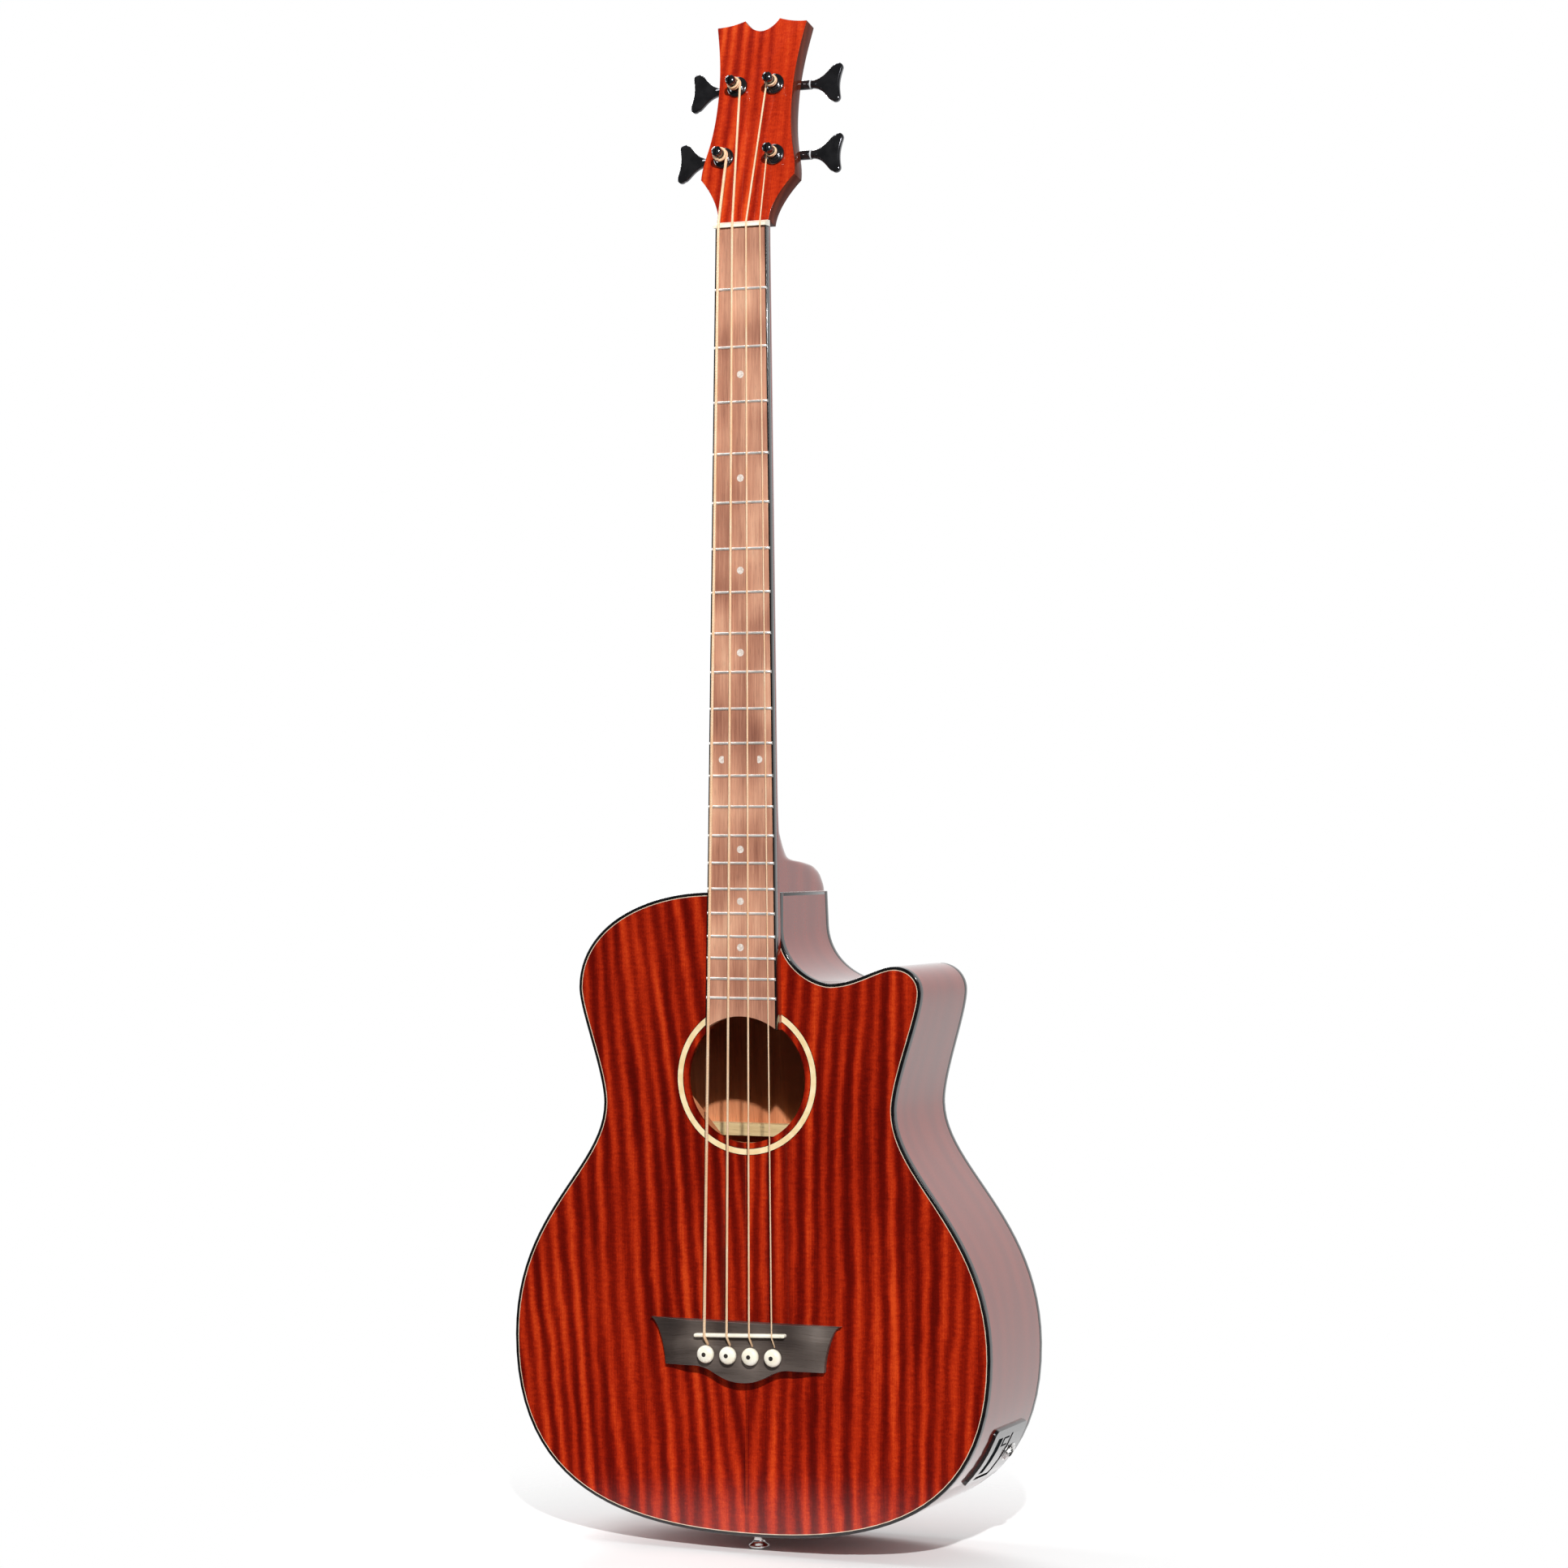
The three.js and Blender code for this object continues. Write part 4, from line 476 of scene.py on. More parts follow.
def woundWire(name, pitch):  # bronze windings round a steel core
    recipe = Recipe(name, Metallic=0.1)
    x, y, z = recipe.places()
    turns = ((z + y * 0.3) * (tau / pitch)).sine()
    tint = recipe.noise(x * 0.3, y * 0.3, z * 0.05)
    bright = recipe.blend(tint.spread(0.3, 0.7), tone(252, 208, 164), tone(255, 230, 196))
    # the colour is darker in the grooves between turns: painted shade
    grooveShade = recipe.blend(turns.spread(-1.0, -0.2), tone(220, 168, 126), bright)
    return recipe.paint(grooveShade, 0.42 - turns * 0.06, turns, 0.4, 0.0001)


def sideways(x, y, z):
    return x


def mirroredSide(x, y, z):
    return abs(x)


def depthways(x, y, z):
    return y


def leaning(x, y, z):
    return y + z * 0.4


def upwards(x, y, z):
    return z


topWood = lacqueredWood("striped_top_wood", mirroredSide, upwards, ribbon.stops, ribbon.period,
                        ribbon.wander, ribbon.seam, 2.0, 0.88, ribbon.lean)
backWood = lacqueredWood("striped_back_wood", mirroredSide, upwards, ribbon.stops, 18.0, 40,
                         ribbon.seam, 31.0, 0.6, -0.05)
sideWood = lacqueredWood("striped_side_wood", depthways, upwards, neckTones, 26.0, 50, 0.0, 57.0, 0.3)
headWood = lacqueredWood("head_front_wood", sideways, upwards, headTones, 9.5, 16, 0.0, 73.0, 1.05,
                         0.03, (-4, 20, 0.3))
headSideWood = lacqueredWood("head_side_wood", depthways, upwards, darkTones, 9.0, 12, 0.0, 44.0, 0.5,
                             0.0, None, 0.0)
neckWood = lacqueredWood("neck_wood", lambda x, y, z: x * 0.8 + y * 0.6, upwards, neckTones, 19.0, 24,
                         0.0, 91.0, 0.4)
innerWood = plainWood("inner_wood", sideways, upwards, tones(
    (0.0, 170, 94, 56), (0.5, 212, 134, 90), (1.0, 234, 164, 118)), 0.7, 0.25, 3.0)
braceWood = plainWood("brace_wood", leaning, sideways, tones(
    (0.0, 206, 170, 112), (0.5, 236, 208, 152), (1.0, 250, 232, 186)), 0.7, 0.3, 8.0)
# The board's own brown made lighter: partly its colour, partly painted sheen for the haze its surface
# reflects
boardWoodWithSheen = plainWood("board_wood", sideways, upwards, tones(
    (0.0, 134, 84, 66), (0.35, 172, 118, 94), (0.65, 202, 148, 120), (1.0, 226, 178, 146)),
    0.5, 0.3, 5.0, (1.0, 1.0, 1.2))
# Dark wood whose broad lighter patches and pale greys are partly its tone, partly painted reflection of a
# satin finish
bridgeWoodWithSheen = plainWood("bridge_wood", lambda x, y, z: z + y * 0.5, sideways, tones(
    (0.0, 34, 28, 26), (0.4, 66, 57, 53), (0.7, 98, 88, 82), (1.0, 140, 128, 120)),
    0.3, 0.1, 12.0, (0.45, 0.25, 1.5))
blackBinding = moulded("black_binding", (14, 14, 15), (24, 24, 25), 0.16, 0.0, 0.6)
creamLine = moulded("cream_line", (244, 216, 162), (253, 232, 186), 0.3, 0.0, 0.3)
edgeLine = moulded("edge_line", (214, 190, 164), (236, 214, 190), 0.35, 0.0, 0.3)
boneWhite = moulded("bone_white", (248, 240, 218), (255, 250, 236), 0.34, 0.0, 0.3)
nickelWire = moulded("nickel_wire", (232, 229, 223), (248, 246, 242), 0.3, 0.6)
blackChrome = moulded("black_chrome", (92, 92, 96), (112, 112, 116), 0.13, 0.93, 0.4)
blackGloss = moulded("black_gloss", (15, 15, 16), (26, 26, 28), 0.13, 0.0, 1.0)
chromePlate = moulded("chrome_plate", (214, 212, 210), (234, 233, 232), 0.1, 1.0)
greyWasher = moulded("grey_washer", (196, 198, 200), (222, 223, 225), 0.32, 0.0, 0.2)
pearl = moulded("pearl", (214, 200, 188), (240, 231, 222), 0.22, 0.0, 0.5, 0.6)
darkDot = moulded("dark_dot", (34, 30, 28), (52, 46, 42), 0.4)
print("materials mixed:", len(bpy.data.materials))


def dress(obj, *materials):
    obj.data.materials.clear()
    for material in materials:
        obj.data.materials.append(material)


def done(obj, material, stands=None, angle=35, bare=None, body="guitar"):
    settle(obj)
    bpy.ops.object.shade_smooth_by_angle(angle=radians(angle))
    dress(obj, material, *(bare or ())[:1])
    if bare:  # some faces show another wood
        for patch in obj.data.polygons:
            patch.material_index = int(bare[1](patch))
    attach(obj, body)
    if stands:
        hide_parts(stands)


# Body

body = Sizes(
    length=508.6, top=-2.8, lowerBout=409, waist=250, upperBout=294.4,
    upperShare=0.1518, waistShare=0.3327, lowerShare=0.7063, cutawayShare=0.1398,
    hornShare=0.1117, cornerShare=0.0535, cutawayX=71, hornX=125, neckHalf=29,
    heelDepth=94, middleDepth=40, tailDepth=124, crown=4, steps=24,
    bindingWidth=2.5, bindingHeight=6, lineWidth=0.55, sideThickness=2.6,
    topThickness=3.2, backThickness=3, liningWidth=6, liningHeight=13.5, kerf=0.35,
    liningBase=1.5, fit=0.3,
)
bodyBottom = body.top - body.length


def downBody(share):
    return body.top - body.length * share


def bodyLoop():
    low, mid, high = map(downBody, (body.lowerShare, body.waistShare, body.upperShare))
    wide, slim, upper = body.lowerBout / 2, body.waist / 2, body.upperBout / 2
    corner, top = body.neckHalf, body.top
    return loopOf((0, bodyBottom), [
        (-wide, low, 0, 0.52, 1, 0.84), (-slim, mid, 1, 0.53, 1, 0.28), (-upper, high, 1, 0.26, 1, 0.2),
        (-corner, top, 1, 0.63, 0, 0.52), (corner, top), (corner, downBody(body.cornerShare)),
        (body.cutawayX, downBody(body.cutawayShare), 1, 0.7, 0, 0.3),
        (body.hornX, downBody(body.hornShare), 0, 0.4, 0, 0.26),
        (upper, high, 0, 0.6, 1, 0.54), (slim, mid, 1, 0.2, 1, 0.26), (wide, low, 1, 0.28, 1, 0.53),
        (0, bodyBottom, 1, 0.84, 0, 0.52),
    ], body.steps)


def backFace(x, z):  # depth of the arched back
    share = min(max((body.top - z) / body.length, 0), 1)
    side = between(body.heelDepth, body.tailDepth, share * (2 - share))
    return side + body.crown * (1 - (x / (body.lowerBout / 2)) ** 2) - 0.25


def behind(corner):  # depth of the back at that corner
    return backFace(corner.co.x / mm, corner.co.z / mm + drop)


outline = bodyLoop()
hole = Sizes(radius=50.2, z=fretPlace(21) - 14.2 - 50.2, ring=55.1, ringWidth=4.5)


def circle(radius, z):
    angles = [tau * i / fine for i in range(fine)]
    return [Vector((radius * cos(angle), z + radius * sin(angle))) for angle in angles]


top = plate("top_plate", grown(outline, -body.bindingWidth - body.lineWidth), 0,
            body.topThickness)
carve(top, rod("hole_cutter", hole.radius, at(0, -20, hole.z), at(0, 20, hole.z), fine))
done(top, topWood, "soundboard", bare=(innerWood, lambda f: f.normal.y > 0.9))

binding = ring("top_edge", outline, body.bindingWidth, 0, body.bindingHeight)
outer = {(round(p.x, 2), round(p.y, 2)) for p in outline}


def onOuterFront(*ends):
    return all(abs(c.y) < 1e-6 and (round(c.x / mm, 2), round(c.z / mm + drop, 2)) in outer for c in ends)


choose(binding, "EDGE", onOuterFront)
bpy.ops.mesh.bevel(offset=0.8 * mm, segments=4, affect="EDGES")
done(binding, blackBinding, "top_binding")
line = ring("top_line", grown(outline, -body.bindingWidth), body.lineWidth, -0.03, 1.6)
done(line, edgeLine, "top_binding")

edge = ring("back_edge", outline, body.bindingWidth, 20, 60)
for corner in edge.data.vertices:
    inset = body.bindingHeight if corner.co.y < body.middleDepth * mm else 0
    corner.co.y = (behind(corner) - inset) * mm
rounded(edge, 0.5, 2, 50)
done(edge, blackBinding, "back_binding")
strip = block("corner_strip", at(body.neckHalf - 2.2, 6.1, body.top - 3), at(
    body.neckHalf + 0.02, backFace(29, body.top) - 6, body.top + 0.02))
rounded(strip, 0.4, 2)
done(strip, blackBinding, "back_binding")

bpy.ops.mesh.primitive_grid_add(x_subdivisions=48, y_subdivisions=56, size=1)
backPlate = called("back_board")
for corner in backPlate.data.vertices:
    x, z = corner.co.x * 430, body.top + 8 - (corner.co.y + 0.5) * (body.length + 16)
    corner.co = at(x, backFace(x, z) - 0.02, z)
thicken(backPlate, -body.backThickness)
carve(backPlate, plate("back_cutter", grown(outline, -body.bindingWidth), body.middleDepth, 160),
      operation="INTERSECT")
done(backPlate, backWood, "back_plate", bare=(innerWood, lambda f: f.normal.y < -0.7))

side = ring("side_wall", outline, body.sideThickness, body.bindingHeight, 90)
for corner in side.data.vertices:
    if corner.co.y > body.middleDepth * mm:
        corner.co.y = (behind(corner) - body.bindingHeight) * mm


def lining(name, front, depth, follow):  # a strip with a row of small blocks, cut apart by saw kerfs
    back = front + body.liningBase
    made = ring(name, grown(outline, -body.sideThickness), body.liningWidth, front, back)
    far = back if depth > 0 else front
    choose(made, "FACE", lambda f: abs(f.center.y / mm - far) < 0.01 and abs(f.normal.y) > 0.9)
    bpy.ops.mesh.inset(thickness=body.kerf * mm, use_individual=True)
    bpy.ops.mesh.extrude_faces_move(TRANSFORM_OT_shrink_fatten={"value": abs(depth) * mm})
    atRest()
    if follow:
        for corner in made.data.vertices:
            away = behind(corner) - body.backThickness - body.fit
            corner.co.y = (away + corner.co.y / mm - back) * mm
    done(made, braceWood, "rim")


lining("front_lining", body.topThickness + body.fit, body.liningHeight, False)
lining("back_lining", 60, -body.liningHeight, True)

braces = Sizes(shares=(0.17, 0.385, 0.64, 0.84), halfWidth=5.3)
ladderWood = ladderBraces([downBody(share) - drop for share in braces.shares], braces.halfWidth)
for node, material in {"neck_block": innerWood, "tail_block": innerWood, "nut": boneWhite,
                       "soundboard_bracing": innerWood, "back_bracing": ladderWood}.items():
    dress(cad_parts[node], material)
print("body built")

rosette = Sizes(front=-0.05, depth=1.0, dark=0.45)
ringLoop = circle(hole.ring + hole.ringWidth, hole.z)
cream = ring("rosette_ring", ringLoop, hole.ringWidth, rosette.front, rosette.depth)
done(cream, creamLine, "rosette")
darkRings = {"inner": hole.ring, "outer": hole.ring + hole.ringWidth + rosette.dark}
for which, radius in darkRings.items():
    dark = ring("rosette_%s_line" % which, circle(radius, hole.z), rosette.dark,
                rosette.front + 0.01, 0.6)
    done(dark, blackBinding, "rosette")

# Neck, fretboard and frets

neck = Sizes(
    nutWidth=43.5, bodyWidth=58, front=-4.7, depthAtNut=15.5, depthAtBody=18.5,
    squareness=1.95, around=64, rows=120,
    # height above the body's top, share of the heel's depth, squareness
    heel=[(51, 0.0, 2.3), (44.5, 0.05, 2.4), (38, 0.12, 2.6), (31.4, 0.19, 2.9), (27.2, 0.25, 3.3),
          (25.2, 0.36, 4), (23.6, 0.56, 5), (20.8, 0.79, 6), (17.6, 0.89, 7), (13.6, 0.945, 9),
          (9, 0.975, 11), (4, 0.995, 14), (0, 1, 16)],
)
board = Sizes(front=-12, back=-5, radius=400, binding=1.3, columns=28)


def boardHalf(z):
    return between(neck.bodyWidth / 2, neck.nutWidth / 2, z / nutPlace)


def boardFace(x):
    return board.front + board.radius - sqrt(board.radius ** 2 - x * x)


def eased(values, t):  # a smooth line through evenly numbered values
    i = min(int(t), len(values) - 2)
    f = t - i
    a, b = values[i], values[i + 1]
    before = values[i - 1] if i else 2 * a - b
    after = values[i + 2] if i + 2 < len(values) else 2 * b - a
    return 0.5 * (2 * a + (b - before) * f + (2 * before - 5 * a + 4 * b - after) * f * f
                  + (3 * a - before - 3 * b + after) * f ** 3)


head = Sizes(
    tilt=radians(13), thickness=15, face=-6.5, widest=40.3, widestAt=37.3,
    waist=31.9, waistAt=108.3, top=38.6, topAt=167, peak=14.8, peakAt=171,
    dipAt=161.3, edge=0.7, steps=20,
)
headWorld = Matrix.Translation(at(0, head.face, headPlace)) @ Matrix.Rotation(-head.tilt, 4, "X")


def neckStations():
    # height, half width, front, back and squareness of each section from the headstock to the heel
    def depth(z):
        return between(neck.depthAtBody, neck.depthAtNut, z / nutPlace)

    slope = tan(head.tilt)
    headBack = head.face + head.thickness / cos(head.tilt)
    sections = []
    for rise, swell, squareness in ((34, -3.5, 3.4), (26, -1.2, 3.0), (17, 0.6, 2.6), (8, 1.4, 2.35)):
        front = max(neck.front, head.face + rise * slope + 1.6)
        sections.append((headPlace + rise, neck.nutWidth / 2 - 0.6, front,
                         headBack + rise * slope + swell, squareness))
    for z in (nutPlace, nutPlace * 0.85, nutPlace * 0.6, nutPlace * 0.35, nutPlace * 0.16):
        sections.append((z, boardHalf(z), neck.front, neck.front + depth(z), neck.squareness))
    deep = body.heelDepth + body.crown - 0.5
    for height, share, squareness in neck.heel:
        z = body.top + 0.3 + height
        back = between(neck.front + depth(z), deep, share)
        sections.append((z, boardHalf(max(z, 0)), neck.front, back, squareness))
    return sections


sections = neckStations()


def neckSpot(turn, row):
    t = row * (len(sections) - 1)
    z, half, front, back, squareness = (eased([s[k] for s in sections], t) for k in range(5))
    if turn > 0.75:
        return at(between(-half, half, (turn - 0.75) / 0.25), front, z)
    angle = pi * turn / 0.75
    across = copysign(abs(cos(angle)) ** (2 / squareness), cos(angle))
    return at(half * across, between(front, back, max(sin(angle), 0) ** (2 / squareness)), z)


shaft = skin("neck_shaft", neck.around, neck.rows, neckSpot)
done(shaft, neckWood, "neck", 50)


def boardPlan(name, left, right, columns=3, high=nutPlace, front=boardFace, back=board.back):
    bpy.ops.mesh.primitive_grid_add(x_subdivisions=columns, y_subdivisions=2, size=1)
    made = called(name)
    for corner in made.data.vertices:
        z = between(hole.z, high, corner.co.y + 0.5)
        x = between(left(z), right(z), corner.co.x + 0.5)
        corner.co = at(x, front(x), z)
    thicken(made, 30)
    for corner in made.data.vertices:
        if corner.co.y > 5 * mm:
            corner.co.y = back * mm
    outwards(made)
    carve(made, rod("end_cutter", hole.radius, at(0, -30, hole.z), at(0, 30, hole.z), fine))
    return made


def inner(z):
    return boardHalf(z) - board.binding


def tongueHalf(z):
    return boardHalf(min(z, 0)) - 0.2


fretboard = boardPlan("board", lambda z: -inner(z), inner, board.columns)
done(fretboard, boardWoodWithSheen, "fretboard")
for name, sign in (("board_edge_left", -1), ("board_edge_right", 1)):
    trim = boardPlan(name, lambda z: sign * inner(z), lambda z: sign * boardHalf(z))
    rounded(trim, 0.25, 2, 60)
    done(trim, blackBinding, "fretboard")
tongue = boardPlan("neck_tongue", lambda z: -tongueHalf(z), tongueHalf, 3, 6, lambda x: neck.front, -0.05)
done(tongue, neckWood, "neck")

wire = Sizes(width=2.3, rise=1.2, endGap=0.15, slant=0.6, around=16, rows=15)
for fret in range(1, 22):
    z = fretPlace(fret)
    half = boardHalf(z) - wire.endGap

    def crown(turn, row):
        angle = tau * turn
        rise = max(sin(angle), 0) * wire.rise
        x = between(-half, half, row) * (1 - wire.slant * rise / half)
        return at(x, boardFace(x) + 0.05 - rise, z + cos(angle) * wire.width / 2)

    bar = skin("fret_wire_%02d" % fret, wire.around, wire.rows, crown)
    done(bar, nickelWire, "fret_%02d" % fret, 60)

dots = Sizes(radius=2.9, proud=0.05, pairX=15.8, frets=(3, 5, 7, 9, 12, 15, 17, 19))
for fret in dots.frets:
    z = (fretPlace(fret) + fretPlace(fret - 1)) / 2
    for x in ((-dots.pairX, dots.pairX) if fret == 12 else (0,)):
        hand = {-1: "_left", 0: "", 1: "_right"}[round(x / dots.pairX)]
        dot = rod("dot_%02d%s" % (fret, hand), dots.radius, at(x, boardFace(x) - dots.proud, z),
                  at(x, boardFace(x) + 1, z), 40)
        done(dot, pearl)
print("neck and board built")

# Headstock


def headLoop():
    left = loopOf((-neck.nutWidth / 2, 0), [
        (-head.widest, head.widestAt, 1, 0.47, 0, 0.02),
        (-head.waist, head.waistAt, 1, 0.28, 1, 0.64), (-head.top, head.topAt, 1, 0.5, 1, 0.05),
        (-head.peak, head.peakAt, 0, 0.6, 0, 0.05), (0, head.dipAt, 1, 0.1, 0, 0.55),
    ], head.steps)
    return mirrored(left)


# hand, x and height of each tuner's post on the headstock's face
places = [(-1, -21.7, 54.4), (-1, -15.9, 114.3), (1, 15.9, 114.3), (1, 21.7, 54.4)]
plank = plate("head_plate", headLoop(), 0, head.thickness, local)
for hand, x, s in places:
    carve(plank, rod("post_cutter", 5.3, local(x, -10, s), local(x, 30, s), 32))
settle(plank, headWorld)
rounded(plank, head.edge, 3, 50)
done(plank, headSideWood, "neck", bare=(headWood, lambda f: f.normal.y < -0.8))

# Bridge, saddle, pins

bridge = Sizes(
    top=fretPlace(0) - scaleLength - 8 + 9.2, half=81.8, height=11, tip=4.5,
    centreHalf=45, wingDepth=36.5, depth=47.5, steps=16,
)
saddlePlace = nutPlace - scaleLength - 8
pinPlace = saddlePlace - 16.5


def bridgeLoop():
    half, high = bridge.half, bridge.top
    low = high - bridge.wingDepth
    left = loopOf((-half, high), [
        (-half * 0.835, low, 0, 0.45, 1, 0.4),
        (-bridge.centreHalf * 0.9, low + bridge.wingDepth * 0.02, 0, 0.5, 0, 0.2),
        (0, high - bridge.depth, 0, 0.4, 0, 0.5),
    ], bridge.steps)
    return mirrored(left)


def bridgeFace():  # the bridge's cross section, from the right foot over the top to the left foot
    half, centre = bridge.half, bridge.centreHalf
    wing = between(bridge.height, bridge.tip, 0.8)
    rises = [(half, -0.1), (half, bridge.tip), (between(centre, half, 0.45), wing),
             (centre, bridge.height)]
    return rises + [(-x, rise) for x, rise in reversed(rises)]


foot = bridge.top - bridge.depth - 5
bridgeBody = thicken(face("bridge_body", [at(x, -rise, foot) for x, rise in bridgeFace()]),
                     bridge.depth + 10, (0, 0, 1))
carve(bridgeBody, plate("bridge_cutter", bridgeLoop(), -20, 5), operation="INTERSECT")
rounded(bridgeBody, 0.9, 3, 24)
done(bridgeBody, bridgeWoodWithSheen, "bridge")

saddle = Sizes(half=39, thickness=3, top=-16.0, back=-5.3, lower=0.5, slant=0.04)
saddleBar = block("saddle_bar", at(-saddle.half, saddle.top, saddlePlace - saddle.thickness / 2),
                  at(saddle.half, saddle.back, saddlePlace + saddle.thickness / 2))
for corner in saddleBar.data.vertices:  # its bass end sits lower
    corner.co.z += saddle.slant * corner.co.x - saddle.lower * mm
rounded(saddleBar, 1.4, 5, 40)
done(saddleBar, boneWhite, "saddle")

stringX = [-28.8, -9.6, 9.6, 28.8]
nutX = [-17.7, -5.9, 5.9, 17.7]
stringRadii = [1.15, 0.94, 0.74, 0.54]
pin = Sizes(
    radius=2.6, play=0.3,
    profile=[(0, -14), (1.4, -14), (1.9, -13.2), (2.6, 0), (2.6, 12.4), (5.2, 12.6), (6.4, 12.9),
             (7, 13.7), (7, 15.2), (6.7, 16.3), (5.8, 17.3), (4.4, 18.0), (2.6, 18.45), (0, 18.6)],
    dotRadius=1.75, dotTop=18.72,
)
for i, x in enumerate(stringX):
    stud = turned("pin_%d" % (i + 1), pin.profile, 40)
    stud.matrix_world = Matrix.Translation(at(x, 0, pinPlace)) @ quarterX
    done(stud, boneWhite, "bridge_pin_%d" % (i + 1), 60)
    dot = rod("pin_dot_%d" % (i + 1), pin.dotRadius, at(x, -pin.dotTop, pinPlace),
              at(x, -16, pinPlace), 24)
    done(dot, darkDot)
print("bridge built")

# Strings

winding = Sizes(waist=3.3, gap=0.3, turnGap=0.46, turns=[1.75, 2, 2, 2], steps=32, foot=5.1)
cord = Sizes(pitches=(0.9, 0.75, 0.62, 0.5), end=6.8, ball=4.8, bend=-5.5, saddleFace=-16.25,
             nutFace=-13.7)


def wrapped(i):
    hand, x, s = places[i]
    radius = winding.waist + winding.gap + stringRadii[i]
    pitch = 2 * stringRadii[i] + winding.turnGap
    first = winding.foot + stringRadii[i]
    away = Vector((nutX[i] - x, -s))
    start = atan2(away.y, away.x) - hand * acos(radius / away.length)
    spots = []
    for k in range(round(winding.turns[i] * winding.steps) + 1):
        turn = k / winding.steps
        angle = start - hand * tau * turn
        spots.append(headWorld @ local(x + radius * cos(angle), -first - pitch * turn,
                                       s + radius * sin(angle)))
    return spots


def stringRoute(i):
    radius, bend = stringRadii[i], cord.bend
    holePlace = pinPlace + pin.radius + pin.play + radius
    saddleY, nutY = cord.saddleFace - radius, cord.nutFace - radius
    crest = saddlePlace + saddle.slant * stringX[i] - saddle.lower
    lower = [(cord.end, holePlace), (bend, holePlace), (bend - 1.65, holePlace + 0.41),
             (bend - 3.14, holePlace + 1.65), (saddleY + radius, crest - 1.7), (saddleY, crest)]
    upper = [(nutY, nutPlace + 1.25), (nutY + radius / 4, nutPlace + 4)]
    return [*(at(stringX[i], *p) for p in lower), *(at(nutX[i], *p) for p in upper), *wrapped(i)]


def wireAlong(name, points, radius):
    bpy.ops.curve.primitive_bezier_curve_add(radius=10 * mm)
    made = called(name)
    curve = made.data
    curve.splines.remove(curve.splines[0])
    path = curve.splines.new("POLY")
    path.points.add(len(points) - 1)
    for knot, point in zip(path.points, points):
        knot.co = (*point, 1)
    curve.bevel_depth = radius * mm
    curve.bevel_resolution = 4
    curve.use_fill_caps = True
    pick(made)
    bpy.ops.object.convert(target="MESH")
    return bpy.context.object


windings = [woundWire("wound_wire_%d" % (i + 1), pitch) for i, pitch in enumerate(cord.pitches)]
for i, (x, radius) in enumerate(zip(stringX, stringRadii)):
    string = wireAlong("wire_%d" % (i + 1), stringRoute(i), radius)
    done(string, windings[i], "string_%d" % (i + 1), 60)
    y, z = cord.end + 0.1, pinPlace + pin.radius + pin.play + radius
    ball = rod("ball_%d" % (i + 1), radius + 0.5, at(x, y, z), at(x, cord.end + cord.ball, z), 24)
    rounded(ball, 0.3, 2)
    done(ball, chromePlate)
print("strings laid")

# Tuners

tuner = Sizes(
    gearDepth=20.5, wormOffset=6.65, low=-7, high=10.75, inner=-9.5, outer=11,
    corner=3, back=15.3, deep=10.4, reach=22, sleeve=3.8, shaft=2.4,
    keyLength=26.5, keyThickness=4.6, keyNeck=3.1, lobe=3.9, lobeSpread=12.6,
    collar=[(5.05, -14), (5.05, 0.3), (8.0, 0.3), (8.5, 0.8), (8.5, 1.7), (8.2, 2.2), (7.6, 2.5),
            (6.3, 2.55), (5.6, 3.2), (5.0, 3.65), (3.35, 3.7), (3.35, -14)],
    post=[(0, -20.5), (3, -20.5), (3, 4.0), (4, 4.1), (4, 4.7), (3.7, 4.85), (3.3, 5.2), (3.3, 13.4),
          (3.6, 13.6), (4.1, 14.0), (4.1, 16.2), (3.8, 17.0), (3.2, 17.5), (2.2, 17.85), (0, 18.0)],
)


def roundedBox(left, low, right, high, radius, steps=8):
    centres = [(right - radius, low + radius, -90), (right - radius, high - radius, 0),
               (left + radius, high - radius, 90), (left + radius, low + radius, 180)]
    points = []
    for x, z, first in centres:
        for k in range(steps + 1):
            angle = radians(first + 90 * k / steps)
            points.append(Vector((x + radius * cos(angle), z + radius * sin(angle))))
    return points


def keyLoop():
    length, lobe, lobeSpread = tuner.keyLength, tuner.lobe, tuner.lobeSpread
    upper = loopOf((0, tuner.keyNeck), [
        (length - lobe * 1.75, lobeSpread + lobe * 0.66, 0, 0.62, 0, 0.2)], 16)
    for k in range(1, 15):
        angle = between(pi * 0.7, -0.12, k / 14)
        upper.append(Vector((length - lobe + lobe * cos(angle), lobeSpread + lobe * sin(angle))))
    for k in range(1, 8):
        waist = length - lobe * 0.45 * sin(k / 8 * pi / 2)
        upper.append(Vector((waist, (lobeSpread - 0.5) * (1 - k / 8))))
    return upper + [Vector((length - lobe * 0.45, 0))] + [Vector((p.x, -p.y)) for p in reversed(upper)]


